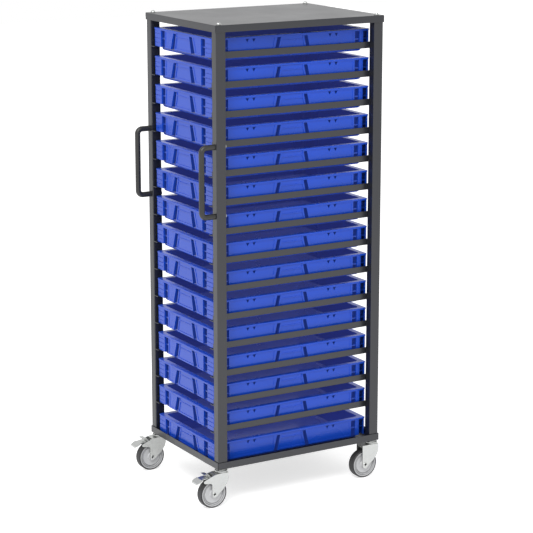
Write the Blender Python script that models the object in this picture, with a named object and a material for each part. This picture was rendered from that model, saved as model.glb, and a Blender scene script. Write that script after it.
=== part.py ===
"""Mobile bin cart: a sheet-metal rack on four swivel castors that carries a stack of low moulded bins.

Lengths are in metres, +Z is up and the cart stands on z = 0. The handle end is at -X and the front
long side at -Y. The origin is below the middle of the cart's outer box. Running the file builds one
object for each piece.
"""

from math import cos, pi, radians, sin

import bmesh
import bpy
from mathutils import Matrix, Vector

# Fits between pieces
TOUCH = 0.0003
OVERRUN = 0.004
WELD_SINK = 0.0005
MERGE = 0.00001

# Bins: moulded, a tub inside a hollow skirt that hangs from the rim
BIN_LENGTH = 0.600
BIN_DEPTH = 0.400
BIN_HEIGHT = 0.075
BIN_WALL = 0.0025
BIN_FLOOR = 0.0025
BIN_CORNER = 0.006
TUB_CORNER = 0.012
SKIRT_FOOT = 0.013
SKIRT_SHEET = 0.0022
RIM_HEIGHT = 0.005
RIM_OVERHANG = 0.0012
RIM_FLANGE = 0.003
TUB_INSET_TOP = 0.0165
TUB_INSET_FOOT = 0.0175
POCKET_INSET = 0.009
POCKET_WIDTH = 0.0145
END_SLOT_INSET_LONG = 0.038
END_SLOT_LONG_WIDTH = 0.020
END_SLOT_INSET_SHORT = 0.048
END_SLOT_SHORT_WIDTH = 0.026
GRIP_WIDTH_LONG = 0.100
GRIP_SLOT_LONG_WIDTH = 0.010
GRIP_SLOT_LONG_SLANT = 0.009
GRIP_WIDTH_SHORT = 0.092
GRIP_SLOT_SHORT_WIDTH = 0.018
GRIP_SLOT_SHORT_SLANT = 0.014

# Room that the rack leaves round the bins
BIN_SIDE_CLEARANCE = 0.009
BIN_END_MARGIN = 0.020
BIN_SETBACK = 0.010
STACK_GAP = 0.0207
LIFT_GAP = 0.030
HEADROOM = 0.0439

# Castors
WHEEL_DIAMETER = 0.100
WHEEL_WIDTH = 0.031
WHEEL_SIDES = 18
TREAD_DEPTH = 0.0042
TREAD_SHOULDER = 0.004
HUB_GROOVE_INSET = 0.0075
HUB_GROOVE_DEPTH = 0.002
HUB_BOSS_DIAMETER = 0.026
AXLE_DIAMETER = 0.008
AXLE_HEAD_DIAMETER = 0.013
AXLE_HEAD_HEIGHT = 0.0016
AXLE_SIDES = 10
CASTOR_TRAIL = 0.035
FORK_SHEET = 0.0025
FORK_WHEEL_CLEARANCE = 0.0012
FORK_HEADROOM = 0.0185
FORK_REAR = 0.0185
FORK_KNEE = 0.022
FORK_BEND = 0.003
LEG_RADIUS = 0.012
BRAKED_LEG_RADIUS = 0.009
HEAD_DIAMETER = 0.044
HEAD_SHOULDER = 0.030
HEAD_HEIGHT = 0.0115
HEAD_GAP = 0.0006
STEM_DIAMETER = 0.012
STEM_LENGTH = 0.026
RIVET_DIAMETER = 0.022
RIVET_HEIGHT = 0.004
HEAD_SIDES = 10
WHEEL_RADIUS = WHEEL_DIAMETER / 2
HUB_RADIUS = WHEEL_RADIUS - TREAD_DEPTH - TOUCH
FORK_INNER = WHEEL_WIDTH + 2 * FORK_WHEEL_CLEARANCE
FORK_OUTER = FORK_INNER + 2 * FORK_SHEET
FORK_TOP = WHEEL_DIAMETER + FORK_HEADROOM

# Brake: nose of the fork, and the pedal that turns on a pin across it
NOSE_REACH = 0.0755
NOSE_HEIGHT = 0.0175
PEDAL_PIVOT_BACK = 0.047
PEDAL_PIVOT_DROP = 0.011
PEDAL_REACH = 0.055
PEDAL_SHEET = 0.0022
PEDAL_WIDTH = 0.046
PEDAL_TREAD = 0.021
PEDAL_LIP = 0.004
PEDAL_BARREL = 0.009
PEDAL_PIN = 0.005
PEDAL_TAB_WIDTH = 0.026

# Posts: rectangular tube, inside the corners of the tray and the cover
POST_X = 0.035
POST_Y = 0.030
POST_WALL = 0.0015
POST_CORNER = 0.003
POST_CLEARANCE = 0.001

# Folded sheet: the tray at the bottom and the cover at the top
SHEET = 0.002
TRAY_LIP = 0.024
COVER_LIP = 0.023
SHEET_CORNER = 0.003
POST_INSET = SHEET + POST_CLEARANCE
TRAY_LENGTH = BIN_LENGTH + 2 * BIN_END_MARGIN
TRAY_DEPTH = BIN_DEPTH + 2 * (BIN_SIDE_CLEARANCE + POST_Y + POST_INSET)
TRAY_UNDERSIDE = FORK_TOP + HEAD_HEIGHT
TRAY_FLOOR = TRAY_UNDERSIDE + SHEET

# Runners: steel angle welded to the inner sides of the posts, one pair for each level
LEVELS = 14
RUNNER_HEIGHT = 0.022
RUNNER_SHEET = 0.002
RUNNER_TIP_CLEARANCE = 0.0015
RUNNER_WIDTH = BIN_SIDE_CLEARANCE + TUB_INSET_FOOT - RUNNER_TIP_CLEARANCE
LEVEL_PITCH = BIN_HEIGHT + STACK_GAP
LOWEST_SEAT = BIN_HEIGHT + LIFT_GAP + SKIRT_FOOT
HIGHEST_RIM = LOWEST_SEAT + (LEVELS - 1) * LEVEL_PITCH + BIN_HEIGHT - SKIRT_FOOT

# Places of the posts and the cover, and how far the cart reaches past its middle
POST_LENGTH = HIGHEST_RIM + HEADROOM
POST_CENTRE_X = TRAY_LENGTH / 2 - POST_INSET - POST_X / 2
POST_CENTRE_Y = TRAY_DEPTH / 2 - POST_INSET - POST_Y / 2
POST_BOTTOM = TRAY_FLOOR + TOUCH
POST_TOP = POST_BOTTOM + POST_LENGTH
COVER_UNDERSIDE = POST_TOP + TOUCH
LEFT_REACH = POST_CENTRE_X + PEDAL_PIVOT_BACK + PEDAL_REACH
RIGHT_REACH = max(TRAY_LENGTH / 2, POST_CENTRE_X + HEAD_DIAMETER / 2)

# Handles: bent round bar, each bolted through a post at the handle end
HANDLE_HEIGHT = 0.9675
HANDLE_SPAN = 0.227
HANDLE_REACH = 0.0475
HANDLE_DIAMETER = 0.016
HANDLE_BEND = 0.014
HANDLE_SIDES = 10
HANDLE_BEND_STEPS = 3
BOLT_DIAMETER = 0.008
BOLT_GRIP = 0.018
BOLT_HEAD_DIAMETER = 0.013
BOLT_HEAD_HEIGHT = 0.006
BOLT_SIDES = 8

# Screws that hold the cover, and the threaded plugs in the ends of the posts
SCREW_DIAMETER = 0.008
SCREW_LENGTH = 0.016
SCREW_HEAD_DIAMETER = 0.014
SCREW_HEAD_HEIGHT = 0.0055
WASHER_DIAMETER = 0.020
WASHER_HEIGHT = 0.0016
PLUG_TOP_LENGTH = 0.020
PLUG_FOOT_LENGTH = 0.030

# Outlines as shares of the size that each one follows
# Nose of the braked fork: along NOSE_REACH from the swivel axis, down NOSE_HEIGHT + sheet from the top
NOSE_UPPER_SHARES = ((0.30, 0.0), (0.66, 0.42), (0.93, 0.90), (1.0, 1.12))
NOSE_LOWER_SHARES = ((0.985, 1.32), (0.90, 1.55))
NOSE_NOTCH_SHARE = 1.80
# Pedal seen from the side, from its pivot, as shares of PEDAL_REACH
PEDAL_TAB_TOP_SHARES = ((0.01, 0.075), (-0.11, 0.215), (-0.22, 0.268), (-0.44, 0.272))
PEDAL_TAB_UNDER_SHARES = ((-0.44, 0.232), (-0.23, 0.226), (-0.14, 0.186), (-0.035, 0.055))
PEDAL_TREAD_TOP_SHARES = ((-0.25, 0.030), (-0.66, 0.010))
PEDAL_TREAD_FOOT_SHARES = ((-0.66, -0.030), (-0.24, -0.012))
PEDAL_SHOE_SHARES = ((-0.164, -0.154), (-0.082, -0.136))
# Profile of a domed head: shares of its radius and of its height
DOME_SHARES = ((0.6, 1.0), (1.0, 0.4))

PAINT = (0.055, 0.060, 0.066)
HANDLE_BLACK = (0.022, 0.022, 0.023)
ZINC = (0.62, 0.63, 0.64)
BIN_BLUE = (0.025, 0.065, 0.42)
TYRE_GREY = (0.055, 0.055, 0.058)
HUB_GREY = (0.52, 0.53, 0.54)
PLUG_BLACK = (0.02, 0.02, 0.02)


def clear_scene():
    for old in list(bpy.data.objects):
        bpy.data.objects.remove(old, do_unlink=True)


def material(name, colour, roughness, metallic):
    made = bpy.data.materials.get(name)
    if made is None:
        made = bpy.data.materials.new(name)
        made.use_nodes = True
        shader = made.node_tree.nodes["Principled BSDF"]
        shader.inputs["Base Color"].default_value = (*colour, 1.0)
        shader.inputs["Roughness"].default_value = roughness
        shader.inputs["Metallic"].default_value = metallic
        made.diffuse_color = (*colour, 1.0)
    return made


def paint():
    return material("anthracite paint", PAINT, 0.55, 0.0)


def zinc():
    return material("bright zinc", ZINC, 0.32, 1.0)


def empty(name, location, parent=None):
    made = bpy.data.objects.new(name, None)
    made.location = location
    made.parent = parent
    bpy.context.scene.collection.objects.link(made)
    return made


def place(name, mesh, finish, location=(0, 0, 0), rotation=(0, 0, 0), parent=None):
    made = bpy.data.objects.new(name, mesh)
    if finish is not None and not mesh.materials:
        mesh.materials.append(finish)
    made.location = location
    made.rotation_euler = rotation
    made.parent = parent
    bpy.context.scene.collection.objects.link(made)
    return made


def helper(made):
    """Marks a cutter or a piece of a union, which isn't an object of the cart."""
    made.hide_render = True
    made.display_type = "WIRE"
    return made


def boolean(target, other, operation):
    cut = target.modifiers.new(other.name, "BOOLEAN")
    cut.operation = operation
    cut.solver = "EXACT"
    cut.object = other


def finished(name, bm):
    """A mesh from bm with its faces pointing out."""
    bmesh.ops.recalc_face_normals(bm, faces=bm.faces)
    mesh = bpy.data.meshes.new(name)
    bm.to_mesh(mesh)
    bm.free()
    return mesh


def smooth(mesh, angle=radians(50)):
    mesh.shade_smooth()
    mesh.set_sharp_from_angle(angle=angle)
    return mesh


def ring(bm, points):
    return [bm.verts.new(point) for point in points]


def bridge(bm, first, second):
    """Faces between two rings with as many points each."""
    for index in range(len(first)):
        after = (index + 1) % len(first)
        bm.faces.new((first[index], first[after], second[after], second[index]))


def prism(name, outline, axis, low, high):
    """An outline extruded along Y or Z; its points are (x, z) for Y and (x, y) for Z."""
    bm = bmesh.new()
    if axis == "Y":
        base = ring(bm, [(x, low, z) for x, z in outline])
        step = Vector((0, high - low, 0))
    else:
        base = ring(bm, [(x, y, low) for x, y in outline])
        step = Vector((0, 0, high - low))
    face = bm.faces.new(base)
    moved = bmesh.ops.extrude_face_region(bm, geom=[face])
    bmesh.ops.translate(bm, vec=step, verts=[v for v in moved["geom"] if isinstance(v, bmesh.types.BMVert)])
    return finished(name, bm)


def box(name, low, high):
    outline = [(low[0], low[1]), (high[0], low[1]), (high[0], high[1]), (low[0], high[1])]
    return prism(name, outline, "Z", low[2], high[2])


def cylinder(name, radius, low, high, sides):
    """A round bar along Z."""
    turn = 2 * pi / sides
    outline = [(radius * cos(turn * step), radius * sin(turn * step)) for step in range(sides)]
    return prism(name, outline, "Z", low, high)


def turned(name, profile, sides, closed=False):
    """A profile of (radius, z) points turned about Z."""
    bm = bmesh.new()
    points = ring(bm, [(radius, 0, z) for radius, z in profile])
    pairs = list(zip(points, points[1:]))
    if closed:
        pairs.append((points[-1], points[0]))
    edges = [bm.edges.new(pair) for pair in pairs]
    axis = (0, 0, 1)
    bmesh.ops.spin(bm, geom=edges, cent=(0, 0, 0), axis=axis, angle=2 * pi, steps=sides, use_merge=True)
    bmesh.ops.remove_doubles(bm, verts=bm.verts, dist=MERGE)
    return smooth(finished(name, bm))


def cut_corner_loop(half_x, half_y, corner, z):
    """A rectangle with its corners cut off, as eight points anticlockwise from the -X side of the front."""
    x, y, c = half_x, half_y, corner
    front = [(-x + c, -y), (x - c, -y), (x, -y + c), (x, y - c)]
    back = [(-px, -py) for px, py in front]
    return [(px, py, z) for px, py in front + back]


# Folded sheet


def pan(name, lip, floor_low):
    """A folded sheet pan whose lip stands up from floor_low, or hangs down where it is negative."""
    half_x = TRAY_LENGTH / 2
    half_y = TRAY_DEPTH / 2
    up = 1 if lip > 0 else -1
    outer_z = floor_low if up > 0 else floor_low + SHEET
    inner_z = outer_z + up * SHEET
    lip_z = outer_z + lip
    inner_corner = max(SHEET_CORNER - SHEET, SHEET / 4)
    bm = bmesh.new()
    outer_floor = ring(bm, cut_corner_loop(half_x, half_y, SHEET_CORNER, outer_z))
    outer_lip = ring(bm, cut_corner_loop(half_x, half_y, SHEET_CORNER, lip_z))
    inner_lip = ring(bm, cut_corner_loop(half_x - SHEET, half_y - SHEET, inner_corner, lip_z))
    inner_floor = ring(bm, cut_corner_loop(half_x - SHEET, half_y - SHEET, inner_corner, inner_z))
    bm.faces.new(outer_floor)
    bridge(bm, outer_floor, outer_lip)
    bridge(bm, outer_lip, inner_lip)
    bridge(bm, inner_lip, inner_floor)
    bm.faces.new(inner_floor)
    return finished(name, bm)


def corners():
    """Names and signs of the four corners: left is the handle end."""
    for side, sign_y in (("front", -1), ("back", 1)):
        for end, sign_x in (("left", -1), ("right", 1)):
            yield f"{side}_{end}", sign_x, sign_y


def drill_at_posts(name, radius, low, high, sides, cart):
    """One cutter with a round bar on each post's axis."""
    bm = bmesh.new()
    for _, sign_x, sign_y in corners():
        bar = cylinder(name, radius, low, high, sides)
        bar.transform(Matrix.Translation((sign_x * POST_CENTRE_X, sign_y * POST_CENTRE_Y, 0)))
        bm.from_mesh(bar)
        bpy.data.meshes.remove(bar)
    return helper(place(name, finished(name, bm), None, parent=cart))


def make_sheets(cart):
    tray = place("base_tray", pan("base_tray", TRAY_LIP, TRAY_UNDERSIDE), paint(), parent=cart)
    stem_hole = STEM_DIAMETER / 2 + 2 * TOUCH
    drill = drill_at_posts(
        "tray_drill", stem_hole, TRAY_UNDERSIDE - OVERRUN, TRAY_FLOOR + OVERRUN, HEAD_SIDES, cart
    )
    boolean(tray, drill, "DIFFERENCE")
    cover = place("top_cover", pan("top_cover", -COVER_LIP, COVER_UNDERSIDE), paint(), parent=cart)
    screw_hole = SCREW_DIAMETER / 2 + TOUCH
    low = COVER_UNDERSIDE - OVERRUN
    high = COVER_UNDERSIDE + SHEET + OVERRUN
    drill = drill_at_posts("cover_drill", screw_hole, low, high, BOLT_SIDES, cart)
    boolean(cover, drill, "DIFFERENCE")


# Side frames


def post_mesh(sign_x, sign_y):
    """A length of rectangular tube, open at both ends."""
    centre = Matrix.Translation((sign_x * POST_CENTRE_X, sign_y * POST_CENTRE_Y, 0))
    inner_corner = POST_CORNER - POST_WALL
    bm = bmesh.new()
    inner_x = POST_X / 2 - POST_WALL
    inner_y = POST_Y / 2 - POST_WALL
    outer_low = ring(bm, cut_corner_loop(POST_X / 2, POST_Y / 2, POST_CORNER, POST_BOTTOM))
    outer_high = ring(bm, cut_corner_loop(POST_X / 2, POST_Y / 2, POST_CORNER, POST_TOP))
    inner_high = ring(bm, cut_corner_loop(inner_x, inner_y, inner_corner, POST_TOP))
    inner_low = ring(bm, cut_corner_loop(inner_x, inner_y, inner_corner, POST_BOTTOM))
    bridge(bm, outer_low, outer_high)
    bridge(bm, outer_high, inner_high)
    bridge(bm, inner_high, inner_low)
    bridge(bm, inner_low, outer_low)
    mesh = finished("post", bm)
    mesh.transform(centre)
    return mesh


def handle_levels():
    middle = TRAY_FLOOR + HANDLE_HEIGHT
    return middle - HANDLE_SPAN / 2, middle + HANDLE_SPAN / 2


def make_side_frame(side, sign_y, cart):
    """Two posts with a runner for every level, welded into one frame."""
    bm = bmesh.new()
    for sign_x in (-1, 1):
        tube = post_mesh(sign_x, sign_y)
        bm.from_mesh(tube)
        bpy.data.meshes.remove(tube)
    posts = helper(place(f"posts_{side}", finished(f"posts_{side}", bm), None, parent=cart))

    bm = bmesh.new()
    for level in handle_levels():
        hole = cylinder("bolt_hole", BOLT_DIAMETER / 2 + TOUCH, -POST_X, POST_X, BOLT_SIDES)
        hole.transform(Matrix.Rotation(pi / 2, 4, "Y"))
        hole.transform(Matrix.Translation((-POST_CENTRE_X, sign_y * POST_CENTRE_Y, level)))
        bm.from_mesh(hole)
        bpy.data.meshes.remove(hole)
    drill = helper(place(f"post_drill_{side}", finished(f"post_drill_{side}", bm), None, parent=cart))
    boolean(posts, drill, "DIFFERENCE")

    wall = POST_CENTRE_Y - POST_Y / 2
    outer = sign_y * (wall + WELD_SINK)
    inner = sign_y * (wall - RUNNER_SHEET)
    tip = sign_y * (wall - RUNNER_WIDTH)
    seat = TRAY_FLOOR + LOWEST_SEAT
    foot = seat - RUNNER_SHEET
    angle = [(outer, foot), (tip, foot), (tip, seat), (inner, seat), (inner, foot + RUNNER_HEIGHT)]
    angle.append((outer, foot + RUNNER_HEIGHT))
    end = POST_CENTRE_X + POST_X / 2 - TOUCH
    bm = bmesh.new()
    near = ring(bm, [(-end, y, z) for y, z in angle])
    far = ring(bm, [(end, y, z) for y, z in angle])
    bridge(bm, near, far)
    bm.faces.new(near)
    bm.faces.new(far)
    name = f"side_frame_{side}"
    frame = place(name, finished(name, bm), paint(), parent=cart)
    levels = frame.modifiers.new("levels", "ARRAY")
    levels.count = LEVELS
    levels.use_relative_offset = False
    levels.use_constant_offset = True
    levels.constant_offset_displace = (0, 0, LEVEL_PITCH)
    boolean(frame, posts, "UNION")


# Bins


def side_slots(half, upright, grip_width, grip_slot, slant):
    """Slots along one side, as (start, end) distances from its middle at the skirt's foot and at the rim.

    The upright ones are given as rows of (distance from the corner, width).
    """
    slots = []
    for sign in (-1, 1):
        for inset, width in upright:
            ends = sorted((sign * (half - inset), sign * (half - inset - width)))
            slots.append((ends, ends))
        top = sorted((sign * grip_width / 2, sign * (grip_width / 2 + grip_slot)))
        foot = [edge + sign * slant for edge in top]
        slots.append((foot, top))
    return sorted(slots)


def slotted_skirt(bm, outer_foot, outer_top, inner_foot, inner_top, low, high):
    """Closes the hollow skirt between its outer and inner rings, with slots up from its foot."""
    long_slots = side_slots(
        BIN_LENGTH / 2,
        ((POCKET_INSET, POCKET_WIDTH), (END_SLOT_INSET_LONG, END_SLOT_LONG_WIDTH)),
        GRIP_WIDTH_LONG,
        GRIP_SLOT_LONG_WIDTH,
        GRIP_SLOT_LONG_SLANT,
    )
    short_slots = side_slots(
        BIN_DEPTH / 2,
        ((END_SLOT_INSET_SHORT, END_SLOT_SHORT_WIDTH),),
        GRIP_WIDTH_SHORT,
        GRIP_SLOT_SHORT_WIDTH,
        GRIP_SLOT_SHORT_SLANT,
    )
    for start in range(0, 8, 2):
        slots = long_slots if start % 4 == 0 else short_slots
        along = (outer_top[start + 1].co - outer_top[start].co).normalized()
        middle_out = (outer_top[start].co + outer_top[start + 1].co) / 2
        inward = (inner_top[start].co - outer_top[start].co).dot(Vector((-along.y, along.x, 0)))
        middle_in = middle_out + inward * Vector((-along.y, along.x, 0))
        outer_line = [outer_foot[start]]
        inner_line = [inner_foot[start]]
        for foot, top in slots:
            marks = ((foot[0], low), (top[0], high), (top[1], high), (foot[1], low))
            cut_out = ring(bm, [(*(middle_out + along * distance).xy, z) for distance, z in marks])
            cut_in = ring(bm, [(*(middle_in + along * distance).xy, z) for distance, z in marks])
            for index in range(3):
                bm.faces.new((cut_out[index], cut_out[index + 1], cut_in[index + 1], cut_in[index]))
            bm.faces.new((outer_line[-1], cut_out[0], cut_in[0], inner_line[-1]))
            outer_line.extend(cut_out)
            inner_line.extend(cut_in)
        bm.faces.new((outer_line[-1], outer_foot[start + 1], inner_foot[start + 1], inner_line[-1]))
        bm.faces.new([*outer_line, outer_foot[start + 1], outer_top[start + 1], outer_top[start]])
        bm.faces.new([*inner_line, inner_foot[start + 1], inner_top[start + 1], inner_top[start]])
        here, after = start + 1, (start + 2) % 8
        for foot, top in ((outer_foot, outer_top), (inner_foot, inner_top), (outer_foot, inner_foot)):
            bm.faces.new((foot[here], foot[after], top[after], top[here]))


def bin_mesh():
    """One bin about its middle, standing on z = 0: a tub, its rim and the slotted skirt round it."""

    def loop(inset, z, corner=BIN_CORNER):
        return cut_corner_loop(BIN_LENGTH / 2 - inset, BIN_DEPTH / 2 - inset, corner, z)

    under_rim = BIN_HEIGHT - RIM_HEIGHT
    under_flange = BIN_HEIGHT - RIM_FLANGE
    slot_top = under_rim - RIM_FLANGE
    skirt_in = RIM_OVERHANG + SKIRT_SHEET
    skirt_corner = BIN_CORNER - SKIRT_SHEET / 2
    bm = bmesh.new()
    mouth_corner = TUB_CORNER - BIN_WALL / 2
    floor = ring(bm, loop(TUB_INSET_FOOT + BIN_WALL, BIN_FLOOR, mouth_corner))
    mouth = ring(bm, loop(TUB_INSET_TOP + BIN_WALL, BIN_HEIGHT, mouth_corner))
    rim_top = ring(bm, loop(0, BIN_HEIGHT))
    rim_foot = ring(bm, loop(0, under_rim))
    skirt_top = ring(bm, loop(RIM_OVERHANG, under_rim))
    skirt_foot = ring(bm, loop(RIM_OVERHANG, SKIRT_FOOT))
    inner_foot = ring(bm, loop(skirt_in, SKIRT_FOOT, skirt_corner))
    inner_top = ring(bm, loop(skirt_in, under_flange, skirt_corner))
    tub_top = ring(bm, loop(TUB_INSET_TOP, under_flange, TUB_CORNER))
    tub_foot = ring(bm, loop(TUB_INSET_FOOT, 0, TUB_CORNER))
    bm.faces.new(floor)
    bridge(bm, floor, mouth)
    bridge(bm, mouth, rim_top)
    bridge(bm, rim_top, rim_foot)
    bridge(bm, rim_foot, skirt_top)
    slotted_skirt(bm, skirt_foot, skirt_top, inner_foot, inner_top, SKIRT_FOOT, slot_top)
    bridge(bm, inner_top, tub_top)
    bridge(bm, tub_top, tub_foot)
    bm.faces.new(tub_foot)
    return finished("bin", bm)


def make_bins(cart):
    """The bins on the runners, numbered from the top, and the last one on the floor of the tray."""
    mesh = bin_mesh()
    blue = material("blue moulding", BIN_BLUE, 0.42, 0.0)
    lowest = TRAY_FLOOR + LOWEST_SEAT + TOUCH - SKIRT_FOOT
    for level in range(LEVELS):
        height = lowest + (LEVELS - 1 - level) * LEVEL_PITCH
        place(f"bin_{level + 1:02d}", mesh, blue, (-BIN_SETBACK, 0, height), parent=cart)
    place(f"bin_{LEVELS + 1:02d}", mesh, blue, (-BIN_SETBACK, 0, TRAY_FLOOR + TOUCH), parent=cart)


# Handles and small fasteners


def handle_mesh(name):
    """A bent bar from its lower foot at the origin to its upper foot, standing out towards -X."""
    bm = bmesh.new()
    step = 2 * pi / HANDLE_SIDES
    radius = HANDLE_DIAMETER / 2
    points = [(0, radius * cos(step * side), radius * sin(step * side)) for side in range(HANDLE_SIDES)]
    start = bm.faces.new(ring(bm, points))

    def stretch(face, move):
        grown = bmesh.ops.extrude_face_region(bm, geom=[face])["geom"]
        moved = [part for part in grown if isinstance(part, bmesh.types.BMVert)]
        bmesh.ops.translate(bm, vec=move, verts=moved)
        return next(part for part in grown if isinstance(part, bmesh.types.BMFace))

    def bend(face, centre):
        made = bmesh.ops.spin(
            bm, geom=[face], cent=centre, axis=(0, 1, 0), angle=pi / 2, steps=HANDLE_BEND_STEPS
        )
        return next(part for part in made["geom_last"] if isinstance(part, bmesh.types.BMFace))

    arm = HANDLE_REACH - HANDLE_BEND
    face = stretch(start, (-arm, 0, 0))
    face = bend(face, (-arm, 0, HANDLE_BEND))
    face = stretch(face, (0, 0, HANDLE_SPAN - 2 * HANDLE_BEND))
    face = bend(face, (-arm, 0, HANDLE_SPAN - HANDLE_BEND))
    stretch(face, (arm, 0, 0))
    rounds = [part for part in bm.faces if len(part.verts) == HANDLE_SIDES]
    inside = [part for part in rounds if abs(part.calc_center_median().x) > TOUCH]
    bmesh.ops.delete(bm, geom=inside, context="FACES_ONLY")
    bmesh.ops.remove_doubles(bm, verts=bm.verts, dist=MERGE)
    return smooth(finished(name, bm))


def make_handles(cart):
    face = -POST_CENTRE_X - POST_X / 2
    low, high = handle_levels()
    for side, sign_y in (("front", -1), ("back", 1)):
        y = sign_y * POST_CENTRE_Y
        mount = (face - TOUCH, y, low)
        black = material("black handle", HANDLE_BLACK, 0.4, 0.0)
        handle = place(f"handle_{side}", handle_mesh(f"handle_{side}"), black, mount, parent=cart)
        bm = bmesh.new()
        for z in (0, high - low):
            depth = BOLT_GRIP + 2 * TOUCH
            hole = cylinder("blind_hole", BOLT_DIAMETER / 2 + TOUCH, -depth, OVERRUN, BOLT_SIDES)
            hole.transform(Matrix.Rotation(pi / 2, 4, "Y"))
            hole.transform(Matrix.Translation((0, 0, z)))
            bm.from_mesh(hole)
            bpy.data.meshes.remove(hole)
        name = f"handle_drill_{side}"
        drill = helper(place(name, finished(name, bm), None, mount, parent=cart))
        boolean(handle, drill, "DIFFERENCE")
        head = face + POST_X + TOUCH
        for label, z in (("low", low), ("high", high)):
            bolt = bolt_mesh(f"handle_bolt_{side}_{label}")
            place(bolt.name, bolt, zinc(), (head, y, z), (0, pi / 2, 0), cart)


def bolt_mesh(name):
    """A cheese-head bolt along -Z with the underside of its head at z = 0."""
    radius = BOLT_DIAMETER / 2
    head = BOLT_HEAD_DIAMETER / 2
    edge = BOLT_HEAD_HEIGHT / 6
    length = POST_X + 2 * TOUCH + BOLT_GRIP
    top = BOLT_HEAD_HEIGHT
    profile = [(0, top), (head - edge, top), (head, top - edge), (head, 0), (radius, 0)]
    profile += [(radius, -length + edge), (radius - edge, -length), (0, -length)]
    return turned(name, profile, BOLT_SIDES)


def cover_screw_mesh(name):
    """A domed screw with its washer, whose underside is at z = 0."""
    radius = SCREW_DIAMETER / 2
    washer = WASHER_DIAMETER / 2
    head = SCREW_HEAD_DIAMETER / 2
    profile = [(0, WASHER_HEIGHT + SCREW_HEAD_HEIGHT)]
    for across, up in DOME_SHARES:
        profile.append((head * across, WASHER_HEIGHT + SCREW_HEAD_HEIGHT * up))
    profile += [(head, WASHER_HEIGHT), (washer, WASHER_HEIGHT), (washer, 0), (radius, 0)]
    profile += [(radius, -SCREW_LENGTH), (0, -SCREW_LENGTH)]
    return turned(name, profile, BOLT_SIDES)


def plug_mesh(name, length):
    """A threaded block that fills the end of a post."""
    half_x = POST_X / 2 - POST_WALL - TOUCH
    half_y = POST_Y / 2 - POST_WALL - TOUCH
    corner = POST_CORNER - POST_WALL
    outline = [(x, y) for x, y, _ in cut_corner_loop(half_x, half_y, corner, 0)]
    return prism(name, outline, "Z", 0, length)


def make_fasteners(cart):
    black = material("black plug", PLUG_BLACK, 0.6, 0.0)
    top = COVER_UNDERSIDE + SHEET + TOUCH
    rows = (
        ("top_plug", POST_TOP - PLUG_TOP_LENGTH, PLUG_TOP_LENGTH, SCREW_DIAMETER / 2 + TOUCH, BOLT_SIDES),
        ("castor_plug", POST_BOTTOM, PLUG_FOOT_LENGTH, STEM_DIAMETER / 2 + TOUCH, HEAD_SIDES),
    )
    for name, low, length, bore, sides in rows:
        drill = drill_at_posts(f"{name}_drill", bore, low - OVERRUN, low + length + OVERRUN, sides, cart)
        for corner, sign_x, sign_y in corners():
            place_at = (sign_x * POST_CENTRE_X, sign_y * POST_CENTRE_Y, low)
            plug = place(f"{name}_{corner}", plug_mesh(name, length), black, place_at, parent=cart)
            boolean(plug, drill, "DIFFERENCE")
    for corner, sign_x, sign_y in corners():
        name = f"cover_screw_{corner}"
        seat = (sign_x * POST_CENTRE_X, sign_y * POST_CENTRE_Y, top)
        place(name, cover_screw_mesh(name), zinc(), seat, parent=cart)


# Castors


def castor_head_mesh(name):
    """The fixed part of a castor, turned in one: stem, race, king pin and the riveted end below the fork."""
    stem = STEM_DIAMETER / 2
    rivet = RIVET_DIAMETER / 2
    high = TRAY_UNDERSIDE - TOUCH
    low = FORK_TOP + HEAD_GAP
    under = FORK_TOP - FORK_SHEET - HEAD_GAP
    third = (high - low) / 3
    race = HEAD_DIAMETER / 2
    profile = [(0, TRAY_FLOOR + STEM_LENGTH), (stem, TRAY_FLOOR + STEM_LENGTH), (stem, high)]
    profile += [(HEAD_SHOULDER / 2, high), (race, high - third), (race, low + third)]
    profile += [(race - third, low), (stem, low), (stem, under), (rivet, under)]
    profile += [(rivet, under - RIVET_HEIGHT), (0, under - RIVET_HEIGHT)]
    return turned(name, profile, HEAD_SIDES)


def leg_outline(radius):
    """The lower end of a cheek: round the axle from its -X side, then up to the knee and the top at +X."""
    steps = 5
    points = []
    for step in range(steps + 1):
        angle = pi + step * radians(140) / steps
        points.append((-CASTOR_TRAIL + radius * cos(angle), WHEEL_RADIUS + radius * sin(angle)))
    knee = (FORK_REAR - FORK_KNEE / 4, FORK_TOP - 1.7 * FORK_KNEE)
    return [*points, knee, (FORK_REAR, FORK_TOP - FORK_KNEE), (FORK_REAR, FORK_TOP)]


def fork_outline(braked):
    if not braked:
        return [*leg_outline(LEG_RADIUS), (-CASTOR_TRAIL - LEG_RADIUS, FORK_TOP)]
    points = leg_outline(BRAKED_LEG_RADIUS)
    edge = -CASTOR_TRAIL - BRAKED_LEG_RADIUS

    def nose(share):
        return -NOSE_REACH * share[0], FORK_TOP - NOSE_HEIGHT * share[1]

    points += [nose(share) for share in NOSE_UPPER_SHARES]
    points += [nose(share) for share in NOSE_LOWER_SHARES]
    points.append((edge, FORK_TOP - NOSE_HEIGHT * NOSE_NOTCH_SHARE))
    return points


def along_y(name, radius, half, x, z, sides):
    """A round bar along Y through (x, z)."""
    bar = cylinder(name, radius, -half, half, sides)
    bar.transform(Matrix.Rotation(pi / 2, 4, "X"))
    bar.transform(Matrix.Translation((x, 0, z)))
    return bar


def fork_mesh(name, braked):
    """The fork before its channel is cut: the side outline over its full width, with its top edges bent."""
    mesh = prism(name, fork_outline(braked), "Y", -FORK_OUTER / 2, FORK_OUTER / 2)
    bm = bmesh.new()
    bm.from_mesh(mesh)

    def is_fold(edge):
        first, second = (vertex.co for vertex in edge.verts)
        at_top = min(first.z, second.z) > FORK_TOP - TOUCH
        return at_top and abs(first.y - second.y) < TOUCH

    folds = [edge for edge in bm.edges if is_fold(edge)]
    bmesh.ops.bevel(bm, geom=folds, offset=FORK_BEND, segments=2, profile=0.5, affect="EDGES")
    bpy.data.meshes.remove(mesh)
    return finished(name, bm)


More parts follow.
